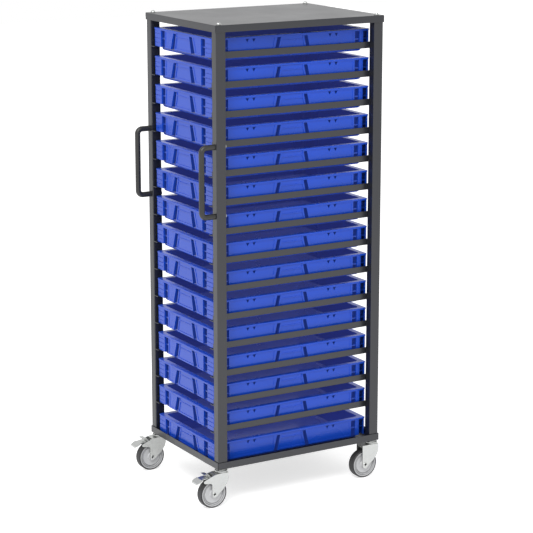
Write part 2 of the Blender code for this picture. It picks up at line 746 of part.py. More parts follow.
def pedal_pivot():
    return -PEDAL_PIVOT_BACK, FORK_TOP - PEDAL_PIVOT_DROP


def make_fork(corner, braked, swivel):
    name = f"castor_fork_{corner}"
    fork = place(name, fork_mesh(name, braked), zinc(), parent=swivel)
    reach = NOSE_REACH + OVERRUN
    low = (-reach, -FORK_INNER / 2, 0)
    high = (reach, FORK_INNER / 2, FORK_TOP - FORK_SHEET)
    channel = helper(place(f"channel_{corner}", box("channel", low, high), None, parent=swivel))
    boolean(fork, channel, "DIFFERENCE")
    half = FORK_OUTER / 2 + OVERRUN
    hole = AXLE_DIAMETER / 2 + TOUCH
    drill = along_y("axle_drill", hole, half, -CASTOR_TRAIL, WHEEL_RADIUS, AXLE_SIDES)
    boolean(fork, helper(place(f"axle_drill_{corner}", drill, None, parent=swivel)), "DIFFERENCE")
    hole = STEM_DIAMETER / 2 + 2 * TOUCH
    king = cylinder("king_drill", hole, FORK_TOP - FORK_SHEET - OVERRUN, FORK_TOP + OVERRUN, HEAD_SIDES)
    boolean(fork, helper(place(f"king_drill_{corner}", king, None, parent=swivel)), "DIFFERENCE")
    if braked:
        x, z = pedal_pivot()
        pin = along_y("brake_pin", PEDAL_PIN / 2, FORK_OUTER / 2 - FORK_SHEET / 2, x, z, AXLE_SIDES)
        boolean(fork, helper(place(f"brake_pin_{corner}", pin, None, parent=swivel)), "UNION")


def pedal_outline():
    """Barrel, neck of the tread and brake shoe seen from the side, about the pivot."""
    radius = PEDAL_BARREL / 2
    steps = 8
    points = []
    for step in range(steps + 1):
        angle = radians(235 + step * 275 / steps)
        points.append((radius * cos(angle), radius * sin(angle)))
    shares = PEDAL_TREAD_TOP_SHARES + PEDAL_TREAD_FOOT_SHARES + PEDAL_SHOE_SHARES
    return points + [(PEDAL_REACH * x, PEDAL_REACH * z) for x, z in shares]


def tab_mesh(name):
    """The release tab that stands up over the tread."""
    shares = PEDAL_TAB_TOP_SHARES + PEDAL_TAB_UNDER_SHARES
    outline = [(PEDAL_REACH * x, PEDAL_REACH * z) for x, z in shares]
    return prism(name, outline, "Y", -PEDAL_TAB_WIDTH / 2, PEDAL_TAB_WIDTH / 2)


def tread_mesh(name):
    """The wide tread at the end of the pedal, with its corners cut and its edge turned down."""
    half = PEDAL_WIDTH / 2
    inner = -PEDAL_REACH + PEDAL_TREAD
    cut = PEDAL_TREAD / 4
    edge = PEDAL_SHEET
    top = PEDAL_REACH * PEDAL_TREAD_TOP_SHARES[-1][1] + TOUCH
    foot = top - PEDAL_SHEET - 2 * TOUCH
    lip = foot - PEDAL_LIP
    tip = -PEDAL_REACH
    outline = [(inner, foot), (inner, top), (tip + edge, top), (tip, top - edge / 2)]
    outline += [(tip, lip), (tip + edge, lip), (tip + edge, foot)]
    mesh = prism(name, outline, "Y", -half, half)
    bm = bmesh.new()
    bm.from_mesh(mesh)
    for vertex in bm.verts:
        if vertex.co.x < tip + cut:
            vertex.co.y *= (half - cut) / half
    bpy.data.meshes.remove(mesh)
    return finished(name, bm)


def make_pedal(corner, swivel):
    x, z = pedal_pivot()
    pivot = empty(f"pedal_axis_{corner}", (x, 0, z), swivel)
    name = f"brake_pedal_{corner}"
    half = FORK_INNER / 2 - TOUCH
    pedal = place(name, prism(name, pedal_outline(), "Y", -half, half), zinc(), parent=pivot)
    for label, shape in (("tread", tread_mesh), ("tab", tab_mesh)):
        added = helper(place(f"{label}_{corner}", shape(label), None, parent=pivot))
        boolean(pedal, added, "UNION")
    bore = along_y("pedal_bore", PEDAL_PIN / 2 + TOUCH, half + OVERRUN, 0, 0, AXLE_SIDES)
    boolean(pedal, helper(place(f"pedal_bore_{corner}", bore, None, parent=pivot)), "DIFFERENCE")


def axle_mesh(name):
    """A riveted axle along Z, centred on the wheel."""
    radius = AXLE_DIAMETER / 2
    head = AXLE_HEAD_DIAMETER / 2
    inner = FORK_OUTER / 2 + TOUCH
    outer = inner + AXLE_HEAD_HEIGHT
    half = [(0, outer), (head - AXLE_HEAD_HEIGHT, outer), (head, inner), (radius, inner)]
    return turned(name, half + [(r, -z) for r, z in reversed(half)], AXLE_SIDES)


def hub_mesh(name):
    """The wheel body along Z: boss, sloping web, ring groove and the band that holds the tyre."""
    bore = AXLE_DIAMETER / 2 + TOUCH
    half = WHEEL_WIDTH / 2
    boss = HUB_BOSS_DIAMETER / 2
    groove = HUB_RADIUS - HUB_GROOVE_INSET
    face = half - TREAD_SHOULDER / 2
    floor = face - HUB_GROOVE_DEPTH
    top = [(bore, half), (boss, half), (groove, floor), (groove + HUB_GROOVE_DEPTH, face)]
    top.append((HUB_RADIUS, face))
    return turned(name, top + [(r, -z) for r, z in reversed(top)], WHEEL_SIDES, closed=True)


def tyre_mesh(name):
    half = WHEEL_WIDTH / 2
    inner = HUB_RADIUS + TOUCH
    side = WHEEL_RADIUS - TREAD_SHOULDER / 2
    face = half - TREAD_SHOULDER / 2
    top = [(inner, face), (side, face), (WHEEL_RADIUS, face - TREAD_SHOULDER)]
    return turned(name, top + [(r, -z) for r, z in reversed(top)], WHEEL_SIDES, closed=True)


def make_castor(corner, sign_x, sign_y, braked, cart):
    at = (sign_x * POST_CENTRE_X, sign_y * POST_CENTRE_Y, 0)
    name = f"castor_head_{corner}"
    place(name, castor_head_mesh(name), zinc(), at, parent=cart)
    swivel = empty(f"swivel_axis_{corner}", at, cart)
    make_fork(corner, braked, swivel)
    if braked:
        make_pedal(corner, swivel)
    wheel = empty(f"wheel_axis_{corner}", (-CASTOR_TRAIL, 0, WHEEL_RADIUS), swivel)
    across = (pi / 2, 0, 0)
    rubber = material("grey rubber tyre", TYRE_GREY, 0.7, 0.0)
    plastic = material("grey wheel body", HUB_GREY, 0.45, 0.0)
    rows = (
        ("castor_axle", axle_mesh, zinc()),
        ("wheel_hub", hub_mesh, plastic),
        ("wheel_tyre", tyre_mesh, rubber),
    )
    for label, shape, finish in rows:
        name = f"{label}_{corner}"
        place(name, shape(name), finish, rotation=across, parent=wheel)


def main():
    clear_scene()
    cart = empty("cart", ((LEFT_REACH - RIGHT_REACH) / 2, 0, 0))
    make_sheets(cart)
    for side, sign_y in (("front", -1), ("back", 1)):
        make_side_frame(side, sign_y, cart)
    make_bins(cart)
    make_handles(cart)
    make_fasteners(cart)
    for corner, sign_x, sign_y in corners():
        make_castor(corner, sign_x, sign_y, sign_x < 0, cart)


main()
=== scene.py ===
"""Looks of a mobile bin cart: detailed pieces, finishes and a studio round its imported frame.

Lengths are in metres, +Z is up, the handles are at -X and the front long side at -Y.
"""

from math import cos, pi, radians, sin

import bmesh
import bpy
from bpy.props import FloatProperty, FloatVectorProperty, IntProperty, PointerProperty
from bpy.types import Operator, Panel, PropertyGroup
from mathutils import Matrix, Vector


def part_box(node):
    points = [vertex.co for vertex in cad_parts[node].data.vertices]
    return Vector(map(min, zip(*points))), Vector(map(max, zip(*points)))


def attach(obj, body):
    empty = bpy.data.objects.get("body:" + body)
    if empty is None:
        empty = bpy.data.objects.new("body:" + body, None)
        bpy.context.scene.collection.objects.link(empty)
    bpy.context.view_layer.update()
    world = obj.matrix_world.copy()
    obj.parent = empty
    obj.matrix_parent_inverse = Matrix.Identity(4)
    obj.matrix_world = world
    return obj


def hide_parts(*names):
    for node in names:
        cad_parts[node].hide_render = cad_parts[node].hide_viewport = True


bl_info = {
    "name": "Mobile bin cart",
    "version": (1, 0, 0),
    "blender": (4, 5, 0),
    "location": "3D View > Sidebar > Bin cart",
    "description": "Builds the looks of a mobile bin cart round its packed frame",
    "category": "Add Mesh",
}

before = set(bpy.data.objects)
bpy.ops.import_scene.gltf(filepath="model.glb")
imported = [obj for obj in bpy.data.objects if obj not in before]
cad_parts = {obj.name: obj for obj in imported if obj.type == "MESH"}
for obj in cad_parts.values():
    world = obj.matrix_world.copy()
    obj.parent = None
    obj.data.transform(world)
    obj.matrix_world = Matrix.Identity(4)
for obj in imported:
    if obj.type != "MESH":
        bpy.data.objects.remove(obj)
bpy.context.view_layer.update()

SIDES = (("front", -1), ("back", 1))
CORNERS = ("front_left", "front_right", "back_left", "back_right")
BIN_COUNT = 15
MM = 0.001
POST_HALF = (0.0175, 0.015)  # half of a post's section along X and Y
RUNNER_SEAT = 0.013 - 0.0003  # from a bin's underside up to the runner, less a small gap
TRAIL = 0.035  # from a castor's swivel axis back to its axle
AXLE_HEIGHT = 0.05
PEDAL_PIN = (0.047, 0.1075)  # behind the swivel axis and above the ground
ROUND_TO_Y = Matrix.Rotation(pi / 2, 4, "X")  # lays a piece turned about Z along Y
BLACK = (0, 0, 0, 1)
WHITE = (1, 1, 1, 1)


# Sizes and colours


def number(name, text, default, **values):
    return FloatProperty(name=name, description=text, default=default, **values)


def length(name, text, default):
    return number(name, text, default, min=0, unit="LENGTH", subtype="DISTANCE")


def share(name, text, default):
    return number(name, text, default, min=0, max=1, subtype="FACTOR")


def colour(name, text, default):
    return FloatVectorProperty(name=name, description=text, default=default, size=3, min=0, max=1, subtype="COLOR")


class CartFinishes(PropertyGroup):
    paint: colour("Paint", "Powder coat of the rack", (0.012, 0.013, 0.018))
    handle: colour("Handles", "Satin black of the bent handles", (0.02, 0.02, 0.019))
    bin: colour("Bins", "Blue of the moulded bins", (0.008, 0.066, 0.53))
    zinc: colour("Zinc", "Bright zinc plate of castors and screws", (0.5, 0.51, 0.5))
    tyre: colour("Tyres", "Grey solid rubber", (0.03, 0.03, 0.032))
    wheel: colour("Wheel bodies", "Light grey moulding inside the tyres", (0.55, 0.555, 0.565))
    plug: colour("Plugs", "Black threaded plugs in the posts", (0.018, 0.018, 0.018))
    paint_roughness: share("Paint roughness", "Roughness of the powder coat", 0.32)
    bin_roughness: share("Bin roughness", "Roughness of the moulded bins", 0.26)
    wear: share("Wear", "How much the edges have rubbed", 0.08)


class CartRack(PropertyGroup):
    tube_wall: length("Tube wall", "Wall of the posts", 0.0015)
    tube_corner: length("Tube corner", "Outer corner radius of the posts", 0.003)
    sheet: length("Sheet", "Thickness of the tray and the cover", 0.002)
    fold: length("Fold radius", "Outer radius of the folds in the sheets", 0.0026)
    seam: length("Corner seam", "Slit between two lips at a corner", 0.0009)
    runner_sheet: length("Runner sheet", "Thickness of the runners", 0.002)
    runner_height: length("Runner height", "Height of a runner's upright leg", 0.022)
    runner_width: length("Runner width", "Width of a runner's level leg", 0.025)
    handle_bend: length("Handle bend", "Bend radius on the middle of the handle's bar", 0.016)


class CartBins(PropertyGroup):
    wall: length("Tub wall", "Wall of the tub", 0.0025)
    skirt: length("Skirt sheet", "Thickness of the hollow skirt", 0.0026)
    foot: length("Skirt foot", "Height of the skirt's lower edge", 0.013)
    rim: length("Rim height", "Height of the rim", 0.005)
    overhang: length("Rim overhang", "How far the rim stands out over the skirt", 0.0012)
    tub_inset: length("Tub inset", "From the rim's edge to the tub's outer face", 0.017)
    panel: length("Panel depth", "How far the skirt's panels lie behind their ribs", 0.0012)


class CartCastors(PropertyGroup):
    sides: IntProperty(name="Sides", description="Facets round a wheel", default=72, min=24, max=256)
    cheek: length("Fork sheet", "Sheet of the castor forks", 0.0025)
    fold: length("Fork fold", "Outer radius of the fork's folds", 0.0042)
    tread_round: length("Tread round", "Shoulder radius of the tyres", 0.0035)


class CartStage(PropertyGroup):
    eye: FloatVectorProperty(
        name="Camera", description="Place of the camera", default=(-3.2701, -5.606, 2.2633), size=3,
        subtype="TRANSLATION",
    )
    heading: number("Heading", "Turn of the camera from +Y towards +X", 0.5346, subtype="ANGLE")
    tilt: number("Tilt", "How far the camera looks down", 0.2301, subtype="ANGLE")
    lens: number("Lens", "Focal length in millimetres", 131.69, min=10)
    ambient: number("Ambient", "Strength of the white surroundings", 0.8, min=0)
    key: number("Key", "Power of the large soft lamp", 160, min=0, unit="POWER")
    floor: colour("Floor", "Colour of the studio floor", (0.82, 0.82, 0.82))


def chosen(group):
    """The values of one property group, such as "rack"."""
    return getattr(bpy.context.scene, f"cart_{group}")


# Shader nodes


class Wiring:
    """Adds nodes to a tree and links them."""

    def __init__(self, tree):
        self.tree = tree

    def give(self, socket, value):
        """Links a socket to another one, or sets its plain value."""
        if isinstance(value, bpy.types.NodeSocket):
            self.tree.links.new(value, socket)
        else:
            socket.default_value = value

    def node(self, kind, inputs=None, **values):
        made = self.tree.nodes.new(f"ShaderNode{kind}")
        for key, value in values.items():
            setattr(made, key, value)
        for socket, value in (inputs or {}).items():
            self.give(made.inputs[socket], value)
        return made

    def math(self, kind, *values):
        return self.node("Math", dict(enumerate(values)), operation=kind).outputs[0]

    def noise(self, vector, scale, detail=2, roughness=0.5):
        inputs = {"Vector": vector, "Scale": scale, "Detail": detail, "Roughness": roughness}
        return self.node("TexNoise", inputs).outputs[0]

    def ranged(self, value, low=0.3, high=0.7, start=0, end=1):
        inputs = {"Value": value, "From Min": low, "From Max": high, "To Min": start, "To Max": end}
        return self.node("MapRange", inputs).outputs[0]

    def mix(self, factor, first, second):
        return self.node("Mix", {0: factor, 6: first, 7: second}, data_type="RGBA").outputs[2]

    def stretched(self, vector, by):
        return self.node("VectorMath", {0: vector, 1: by}, operation="MULTIPLY").outputs[0]

    def painted(self, name):
        """An attribute of the mesh."""
        return self.node("Attribute", attribute_name=name).outputs["Fac"]

    def seen(self):
        """1 for what the camera sees, straight or in gloss or glass."""
        path = self.node("LightPath").outputs
        straight_or_gloss = self.math("MAXIMUM", path["Is Camera Ray"], path["Is Glossy Ray"])
        return self.math("MAXIMUM", straight_or_gloss, path["Is Transmission Ray"])


def texture(name, numbers):
    """Turns a function that wires a node group into one that gives the group."""

    def keep(wire):
        def group():
            if name in bpy.data.node_groups:
                return bpy.data.node_groups[name]
            made = bpy.data.node_groups.new(name, "ShaderNodeTree")
            face = made.interface
            face.new_socket("Vector", in_out="INPUT", socket_type="NodeSocketVector")
            for label, default in numbers.items():
                face.new_socket(label, in_out="INPUT", socket_type="NodeSocketFloat").default_value = default
            outputs = wire(Wiring(made), made.nodes.new("NodeGroupInput").outputs)
            end = made.nodes.new("NodeGroupOutput")
            for label, socket in outputs.items():
                face.new_socket(label, in_out="OUTPUT", socket_type="NodeSocketFloat")
                made.links.new(socket, end.inputs[label])
            return made

        return group

    return keep


@texture("powder coat texture", {"Peel scale": 420, "Speckle scale": 1500})
def coat_texture(wires, given):
    """Orange peel, fine speckle and slow changes of gloss."""
    place = given["Vector"]
    peel = wires.noise(place, given["Peel scale"], 1, 0.4)
    speckle = wires.noise(place, given["Speckle scale"], 2, 0.6)
    slow = wires.noise(place, 7, 3, 0.55)
    return {
        "Height": wires.math("MULTIPLY_ADD", speckle, 0.25, peel),
        "Speckle": wires.ranged(speckle, 0.35, 0.7),
        "Gloss": wires.ranged(slow),
    }


@texture("moulded plastic texture", {"Grain scale": 900, "Scuff scale": 30})
def moulding_texture(wires, given):
    """Spark-eroded grain, slow flow marks and light scuffs."""
    place = given["Vector"]
    flow = wires.noise(place, 5, 2, 0.5)
    scuff = wires.noise(wires.stretched(place, (1, 1, 9)), given["Scuff scale"], 6, 0.7)
    return {
        "Height": wires.noise(place, given["Grain scale"], 2, 0.55),
        "Flow": wires.ranged(flow),
        "Scuff": wires.ranged(scuff, 0.58, 0.78),
    }


@texture("zinc plate texture", {"Cloud scale": 60, "Line scale": 700})
def zinc_texture(wires, given):
    """Cloudy passivation, fine rolling lines and small dents."""
    place = given["Vector"]
    cloud = wires.noise(place, given["Cloud scale"], 3, 0.6)
    lines = wires.noise(wires.stretched(place, (0.06, 1, 1)), given["Line scale"], 2, 0.6)
    dents = wires.noise(place, 240, 1, 0.5)
    return {
        "Height": wires.math("MULTIPLY_ADD", lines, 0.3, dents),
        "Cloud": wires.ranged(cloud),
        "Lines": wires.ranged(lines),
    }


@texture("rubbed edges", {"Scale": 90, "Amount": 0.3})
def rub_texture(wires, given):
    """The painted edge attribute, broken up by noise."""
    broken = wires.noise(given["Vector"], given["Scale"], 5, 0.65)
    limit = wires.math("SUBTRACT", 0.8, wires.math("MULTIPLY", wires.painted("edge"), given["Amount"]))
    return {"Mask": wires.ranged(broken, limit, wires.math("ADD", limit, 0.1))}


@texture("settled dust", {"Scale": 18, "Amount": 0.1})
def dust_texture(wires, given):
    """Fine dust that settles on upward faces."""
    normal = wires.node("NewGeometry").outputs["Normal"]
    up = wires.node("SeparateXYZ", {0: normal}).outputs[2]
    cloud = wires.noise(given["Vector"], given["Scale"], 6, 0.65)
    lying = wires.math("MULTIPLY", wires.ranged(up, 0.6, 1), wires.ranged(cloud, 0.35, 0.75))
    return {"Mask": wires.math("MULTIPLY", lying, given["Amount"])}


# Materials


def shade(tone, factor):
    return (tone[0] * factor, tone[1] * factor, tone[2] * factor, 1)


class Finish(Wiring):
    """A material with a Principled shader and this cart's node groups."""

    def __init__(self, name):
        self.material = bpy.data.materials.new(name)
        self.material.use_nodes = True
        super().__init__(self.material.node_tree)
        self.shader = self.tree.nodes["Principled BSDF"]
        self.place = self.node("TexCoord").outputs["Object"]

    def group(self, kind, **values):
        inputs = {key.replace("_", " ").capitalize(): value for key, value in values.items()}
        return self.node("Group", {"Vector": self.place, **inputs}, node_tree=kind()).outputs

    def rubbed(self, **values):
        return self.group(rub_texture, amount=chosen("finishes").wear, **values)["Mask"]

    def dusted(self, amount):
        return self.group(dust_texture, amount=amount)["Mask"]

    def varied(self, mask, tone, low, high):
        """A tone whose brightness goes from low to high with a mask."""
        return self.mix(mask, shade(tone, low), shade(tone, high))

    def feed(self, **values):
        for key, value in values.items():
            self.give(self.shader.inputs[key.replace("_", " ").title().replace("Ior", "IOR")], value)

    def bump(self, height, distance):
        made = self.node("Bump", {"Height": height, "Distance": distance})
        self.give(self.shader.inputs["Normal"], made.outputs[0])


FINISHES = {}


def finish(slot, name):
    """Marks a function that wires the material for one of the record's slots."""

    def keep(wire):
        FINISHES[slot] = (name, wire)
        return wire

    return keep


def finished(slot):
    """The material of a slot, made when it is first asked for."""
    name, wire = FINISHES[slot]
    if name not in bpy.data.materials:
        wire(Finish(name), chosen("finishes"))
    return bpy.data.materials[name]


@finish("frame_paint", "anthracite powder coat")
def frame_paint(look, finishes):
    bare, dusty = (0.16, 0.165, 0.17, 1), (0.3, 0.29, 0.27, 1)
    coat = look.group(coat_texture)
    dust = look.dusted(0.04)
    tone = look.varied(coat["Speckle"], finishes.paint, 0.86, 1.14)
    tone = look.mix(look.rubbed(), tone, bare)
    tone = look.mix(dust, tone, dusty)
    rough = finishes.paint_roughness
    gloss = look.ranged(coat["Gloss"], 0, 1, rough - 0.02, rough + 0.03)
    look.feed(base_color=tone, ior=1.6, roughness=look.math("MULTIPLY_ADD", dust, 0.5, gloss))
    look.bump(coat["Height"], 0.00002)


@finish("handle_black", "satin black handle")
def handle_black(look, finishes):
    worn = (0.07, 0.07, 0.07, 1)
    coat = look.group(coat_texture, peel_scale=600)
    tone = look.varied(coat["Gloss"], finishes.handle, 0.85, 1.2)
    tone = look.mix(look.rubbed(scale=60), tone, worn)
    look.feed(base_color=tone, roughness=look.ranged(coat["Gloss"], 0, 1, 0.34, 0.46))
    look.bump(coat["Height"], 0.000015)


@finish("bin_blue", "blue moulded plastic")
def bin_blue(look, finishes):
    """Blue plastic with painted shade in its slots. Its weak emission is a painted glow that lightens the slots and
    the tub's inside.
    """
    scratched, dusty = (0.12, 0.2, 0.6, 1), (0.35, 0.36, 0.42, 1)
    painted_slot_glow, painted_tub_glow = (0.007, 0.016, 0.1, 1), (0.023, 0.029, 0.09, 1)
    moulding = look.group(moulding_texture)
    rub = look.rubbed(scale=120)
    chance = look.node("ObjectInfo").outputs["Random"]
    lot = look.ranged(chance, 0, 1, 0.97, 1.03)
    tone = look.varied(moulding["Flow"], finishes.bin, 0.94, 1.06)
    tone = look.node("VectorMath", {0: tone, "Scale": lot}, operation="SCALE").outputs[0]
    scuffed = look.math("MAXIMUM", look.math("MULTIPLY", moulding["Scuff"], 0.1), look.math("MULTIPLY", rub, 0.5))
    tone = look.mix(scuffed, tone, scratched)
    tone = look.mix(look.dusted(0.06), tone, dusty)
    # Painted shade: faces deep in the skirt's slots and hollows go darker
    tone = look.mix(look.painted("recess"), tone, look.mix(0.3, BLACK, tone))
    rough = finishes.bin_roughness
    gloss = look.ranged(moulding["Flow"], 0, 1, rough - 0.03, rough + 0.04)
    look.feed(base_color=tone, roughness=look.math("MULTIPLY_ADD", scuffed, 0.4, gloss), specular_ior_level=0.4)
    # Painted glow: emission in the slots and on the tub's inside, though the bin is no lamp
    glow = look.mix(look.painted("lit"), BLACK, painted_slot_glow)
    look.feed(emission_color=look.mix(look.painted("inside"), glow, painted_tub_glow), emission_strength=1)
    look.material.cycles.emission_sampling = "NONE"
    look.bump(moulding["Height"], 0.00001)


@finish("bright_zinc", "bright zinc plate")
def bright_zinc(look, finishes):
    """Zinc plate, dull on cut edges and in bores, which also carry painted shade in dark grey."""
    worn, painted_shade_tone = (0.48, 0.48, 0.47, 1), (0.075, 0.075, 0.078, 1)
    plate = look.group(zinc_texture)
    cut = look.painted("cut")
    tone = look.varied(plate["Cloud"], finishes.zinc, 0.96, 1.03)
    tone = look.mix(look.rubbed(scale=140), tone, worn)
    # Painted shade: dark, dull and not metallic on the faces painted cut
    tone = look.mix(cut, tone, painted_shade_tone)
    rough = look.ranged(plate["Lines"], 0, 1, 0.24, 0.3)
    rough = look.math("MULTIPLY_ADD", plate["Cloud"], 0.06, rough)
    rough = look.math("MULTIPLY_ADD", cut, 0.35, rough)
    look.feed(base_color=tone, metallic=look.ranged(cut, 0, 1, 1, 0), roughness=rough)
    look.bump(plate["Height"], 0.00001)


@finish("tyre_grey", "grey rubber")
def tyre_grey(look, finishes):
    dry = (0.11, 0.11, 0.11, 1)
    moulding = look.group(moulding_texture, grain_scale=500, scuff_scale=80)
    rub = look.rubbed(scale=150)
    tone = look.varied(moulding["Flow"], finishes.tyre, 0.85, 1.2)
    worn = look.math("MAXIMUM", look.math("MULTIPLY", moulding["Scuff"], 0.3), look.math("MULTIPLY", rub, 0.6))
    tone = look.mix(worn, tone, dry)
    look.feed(base_color=tone, roughness=look.ranged(moulding["Flow"], 0, 1, 0.55, 0.68))
    look.bump(moulding["Height"], 0.00002)


@finish("wheel_grey", "grey wheel moulding")
def wheel_grey(look, finishes):
    """Light moulding with painted shade in its grooves."""
    scuffed, dusty, groove_shade = (0.3, 0.3, 0.3, 1), (0.4, 0.39, 0.37, 1), (0.2, 0.2, 0.205, 1)
    moulding = look.group(moulding_texture, grain_scale=700)
    tone = look.varied(moulding["Flow"], finishes.wheel, 0.94, 1.05)
    tone = look.mix(look.math("MULTIPLY", moulding["Scuff"], 0.3), tone, scuffed)
    tone = look.mix(look.dusted(0.2), tone, dusty)
    # Painted shade in the ring grooves
    tone = look.mix(look.painted("cut"), tone, groove_shade)
    look.feed(base_color=tone, roughness=look.ranged(moulding["Flow"], 0, 1, 0.36, 0.46))
    look.bump(moulding["Height"], 0.000006)


@finish("plug_black", "black moulded plug")
def plug_black(look, finishes):
    moulding = look.group(moulding_texture)
    tone = look.varied(moulding["Flow"], finishes.plug, 0.85, 1.2)
    look.feed(base_color=tone, roughness=look.ranged(moulding["Flow"], 0, 1, 0.5, 0.62))
    look.bump(moulding["Height"], 0.00002)


# Mesh making


def closed_mesh(bm, sharp=35):
    """A mesh from bm with its faces out, smooth but for edges sharper than an angle in degrees."""
    bmesh.ops.recalc_face_normals(bm, faces=bm.faces)
    mesh = bpy.data.meshes.new("piece")
    bm.to_mesh(mesh)
    bm.free()
    mesh.shade_smooth()
    mesh.set_sharp_from_angle(angle=radians(sharp))
    return mesh


def bridge(bm, first, second):
    for corners in zip(first, first[1:] + first[:1], second[1:] + second[:1], second):
        bm.faces.new(corners)


def skin(bm, rings, closed=False):
    """Faces along a row of rings with as many points each, closed to a loop or with flat ends."""
    made = [[bm.verts.new(point) for point in points] for points in rings]
    for first, second in zip(made, made[1:]):
        bridge(bm, first, second)
    if closed:
        bridge(bm, made[-1], made[0])
    else:
        bm.faces.new(made[0])
        bm.faces.new(made[-1])


def skinned(rings, closed=False, sharp=35):
    bm = bmesh.new()
    skin(bm, rings, closed)
    return closed_mesh(bm, sharp)


def rounded_loop(half_x, half_y, radius, z, steps=6, centre=(0, 0)):
    """A rectangle with round corners, anticlockwise from +X."""
    radius = max(radius, 1e-5)
    points = []
    for quarter, (sx, sy) in enumerate(((1, 1), (-1, 1), (-1, -1), (1, -1))):
        for step in range(steps + 1):
            angle = (quarter + step / steps) * pi / 2
            x = sx * (half_x - radius) + radius * cos(angle)
            y = sy * (half_y - radius) + radius * sin(angle)
            points.append((centre[0] + x, centre[1] + y, z))
    return points


def arc(centre, radius, start, end, steps):
    """Points of an arc, angles in degrees."""
    turns = (radians(start + (end - start) * step / steps) for step in range(steps + 1))
    return [(centre[0] + radius * cos(turn), centre[1] + radius * sin(turn)) for turn in turns]


def in_mm(*points):
    """Points in metres, from millimetres."""
    return [tuple(value * MM for value in point) for point in points]


def leaning(foot, top, low, high):
    """A four-sided outline: foot and top are its spans at the heights low and high."""
    return [(foot[0], low), (foot[1], low), (top[1], high), (top[0], high)]


def centred(foot, top, low, high):
    """A leaning outline from half its width at the foot and at the top."""
    return leaning((-foot, foot), (-top, top), low, high)


def prism(outline, axis, low, high):
    """An outline of (x, z), (y, z) or (x, y) points extruded along Y, X or Z."""
    place = {"Y": lambda p, d: (p[0], d, p[1]), "X": lambda p, d: (d, *p), "Z": lambda p, d: (*p, d)}[axis]
    return skinned([[place(point, end) for point in outline] for end in (low, high)])


def turned(profile, sides, closed=False, reach=None):
    """A profile of (radius, z) turned about Z. reach changes a radius by its row and angle."""
    bm = bmesh.new()
    rows = []
    for row, (radius, z) in enumerate(profile):
        points = []
        for side in range(sides if radius > 1e-6 else 1):
            angle = 2 * pi * side / sides
            far = radius * (reach(row, angle) if reach else 1)
            points.append(bm.verts.new((far * cos(angle), far * sin(angle), z)))
        rows.append(points)
    for first, second in list(zip(rows, rows[1:])) + ([(rows[-1], rows[0])] if closed else []):
        for side in range(sides):
            after = (side + 1) % sides
            ends = [(first, side), (first, after), (second, after), (second, side)]
            corners = list(dict.fromkeys(row[index % len(row)] for row, index in ends))
            if len(corners) > 2:
                bm.faces.new(corners)
    return closed_mesh(bm)


def swept(path, radius, sides):
    """A round bar along a path of points in one XZ plane, closed at both ends."""
    across = Vector((0, 1, 0))
    turns = [2 * pi * step / sides for step in range(sides)]
    rings = []
    for index, point in enumerate(path):
        before = Vector(path[max(index - 1, 0)])
        after = Vector(path[min(index + 1, len(path) - 1)])
        up = (after - before).normalized().cross(across)
        rings.append([Vector(point) + (across * cos(turn) + up * sin(turn)) * radius for turn in turns])
    return skinned(rings)


def merged(meshes):
    """One mesh from several, which are removed."""
    bm = bmesh.new()
    for mesh in meshes:
        bm.from_mesh(mesh)
        bpy.data.meshes.remove(mesh)
    return closed_mesh(bm)


def moved(mesh, offset=(0, 0, 0), turn=Matrix()):
    mesh.transform(turn)
    mesh.transform(Matrix.Translation(offset))
    return mesh


def loose_object(mesh, name="work"):
    made = bpy.data.objects.new(name, mesh)
    bpy.context.scene.collection.objects.link(made)
    return made


def applied(mesh, *steps):
    """The mesh after its modifiers: rows of (kind, values)."""
    work = loose_object(mesh)
    for kind, values in steps:
        step = work.modifiers.new(kind.lower(), kind)
        for key, value in values.items():
            setattr(step, key, value)
    graph = bpy.context.evaluated_depsgraph_get()
    graph.update()
    made = bpy.data.meshes.new_from_object(work.evaluated_get(graph))
    bpy.data.objects.remove(work)
    bpy.data.meshes.remove(mesh)
    return made


def worked(mesh, cut=None, soften=0, angle=40):
    """The mesh after exact cuts and with its sharp edges rounded."""
    steps = []
    tool = loose_object(cut) if cut else None
    if tool:
        steps.append(("BOOLEAN", {"operation": "DIFFERENCE", "solver": "EXACT", "use_self": True, "object": tool}))
    if soften:
        values = {"width": soften, "segments": 2, "limit_method": "ANGLE", "angle_limit": radians(angle)}
        steps.append(("BEVEL", {**values, "miter_outer": "MITER_ARC", "use_clamp_overlap": True}))
    made = applied(mesh, *steps)
    if tool:
        bpy.data.objects.remove(tool)
        bpy.data.meshes.remove(cut)
    made.shade_smooth()
    made.set_sharp_from_angle(angle=radians(angle))
    return made


def paint_faces(mesh, name, amount):
    """A face attribute with amount(face) on each face."""
    attribute = mesh.attributes.new(name, "FLOAT", "FACE")
    attribute.data.foreach_set("value", [amount(face) for face in mesh.polygons])


def evened(mesh, name):
    """The mesh with normals that keep large faces flat, and an edge attribute: 1 in the middle of a rounded
    outer edge and 0 on the faces beside it."""
    narrow, blunt, keen = 0.0025, radians(12), radians(20)
    mesh = applied(mesh, ("WEIGHTED_NORMAL", {"keep_sharp": True}))
    mesh.name = name
    bm = bmesh.new()
    bm.from_mesh(mesh)
    flat = {face for face in bm.faces if face.calc_area() > narrow * max(edge.calc_length() for edge in face.edges)}
    values = []
    for vertex in bm.verts:
        outer = [edge for edge in vertex.link_edges if len(edge.link_faces) == 2 and edge.is_convex]
        turns = [edge.calc_face_angle(0) for edge in outer]
        beside = any(face in flat for face in vertex.link_faces)
        values.append(0 if beside else min(1, max(0, (max(turns, default=0) - blunt) / keen)))
    bm.free()
    mesh.attributes.new("edge", "FLOAT", "POINT").data.foreach_set("value", values)
    return mesh


def put(node, suffix, mesh, slot, body, location=(0, 0, 0)):
    """A finished piece of the cart on its body, in place of a CAD node."""
    name = f"{node}_{suffix}"
    if "edge" not in mesh.attributes:
        mesh = evened(mesh, name)
    piece = loose_object(mesh, name)
    piece.location = location
    mesh.materials.clear()
    mesh.materials.append(finished(slot))
    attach(piece, body)
    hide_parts(node)


def middle(node):
    low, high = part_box(node)
    return (low + high) / 2


# Sheets


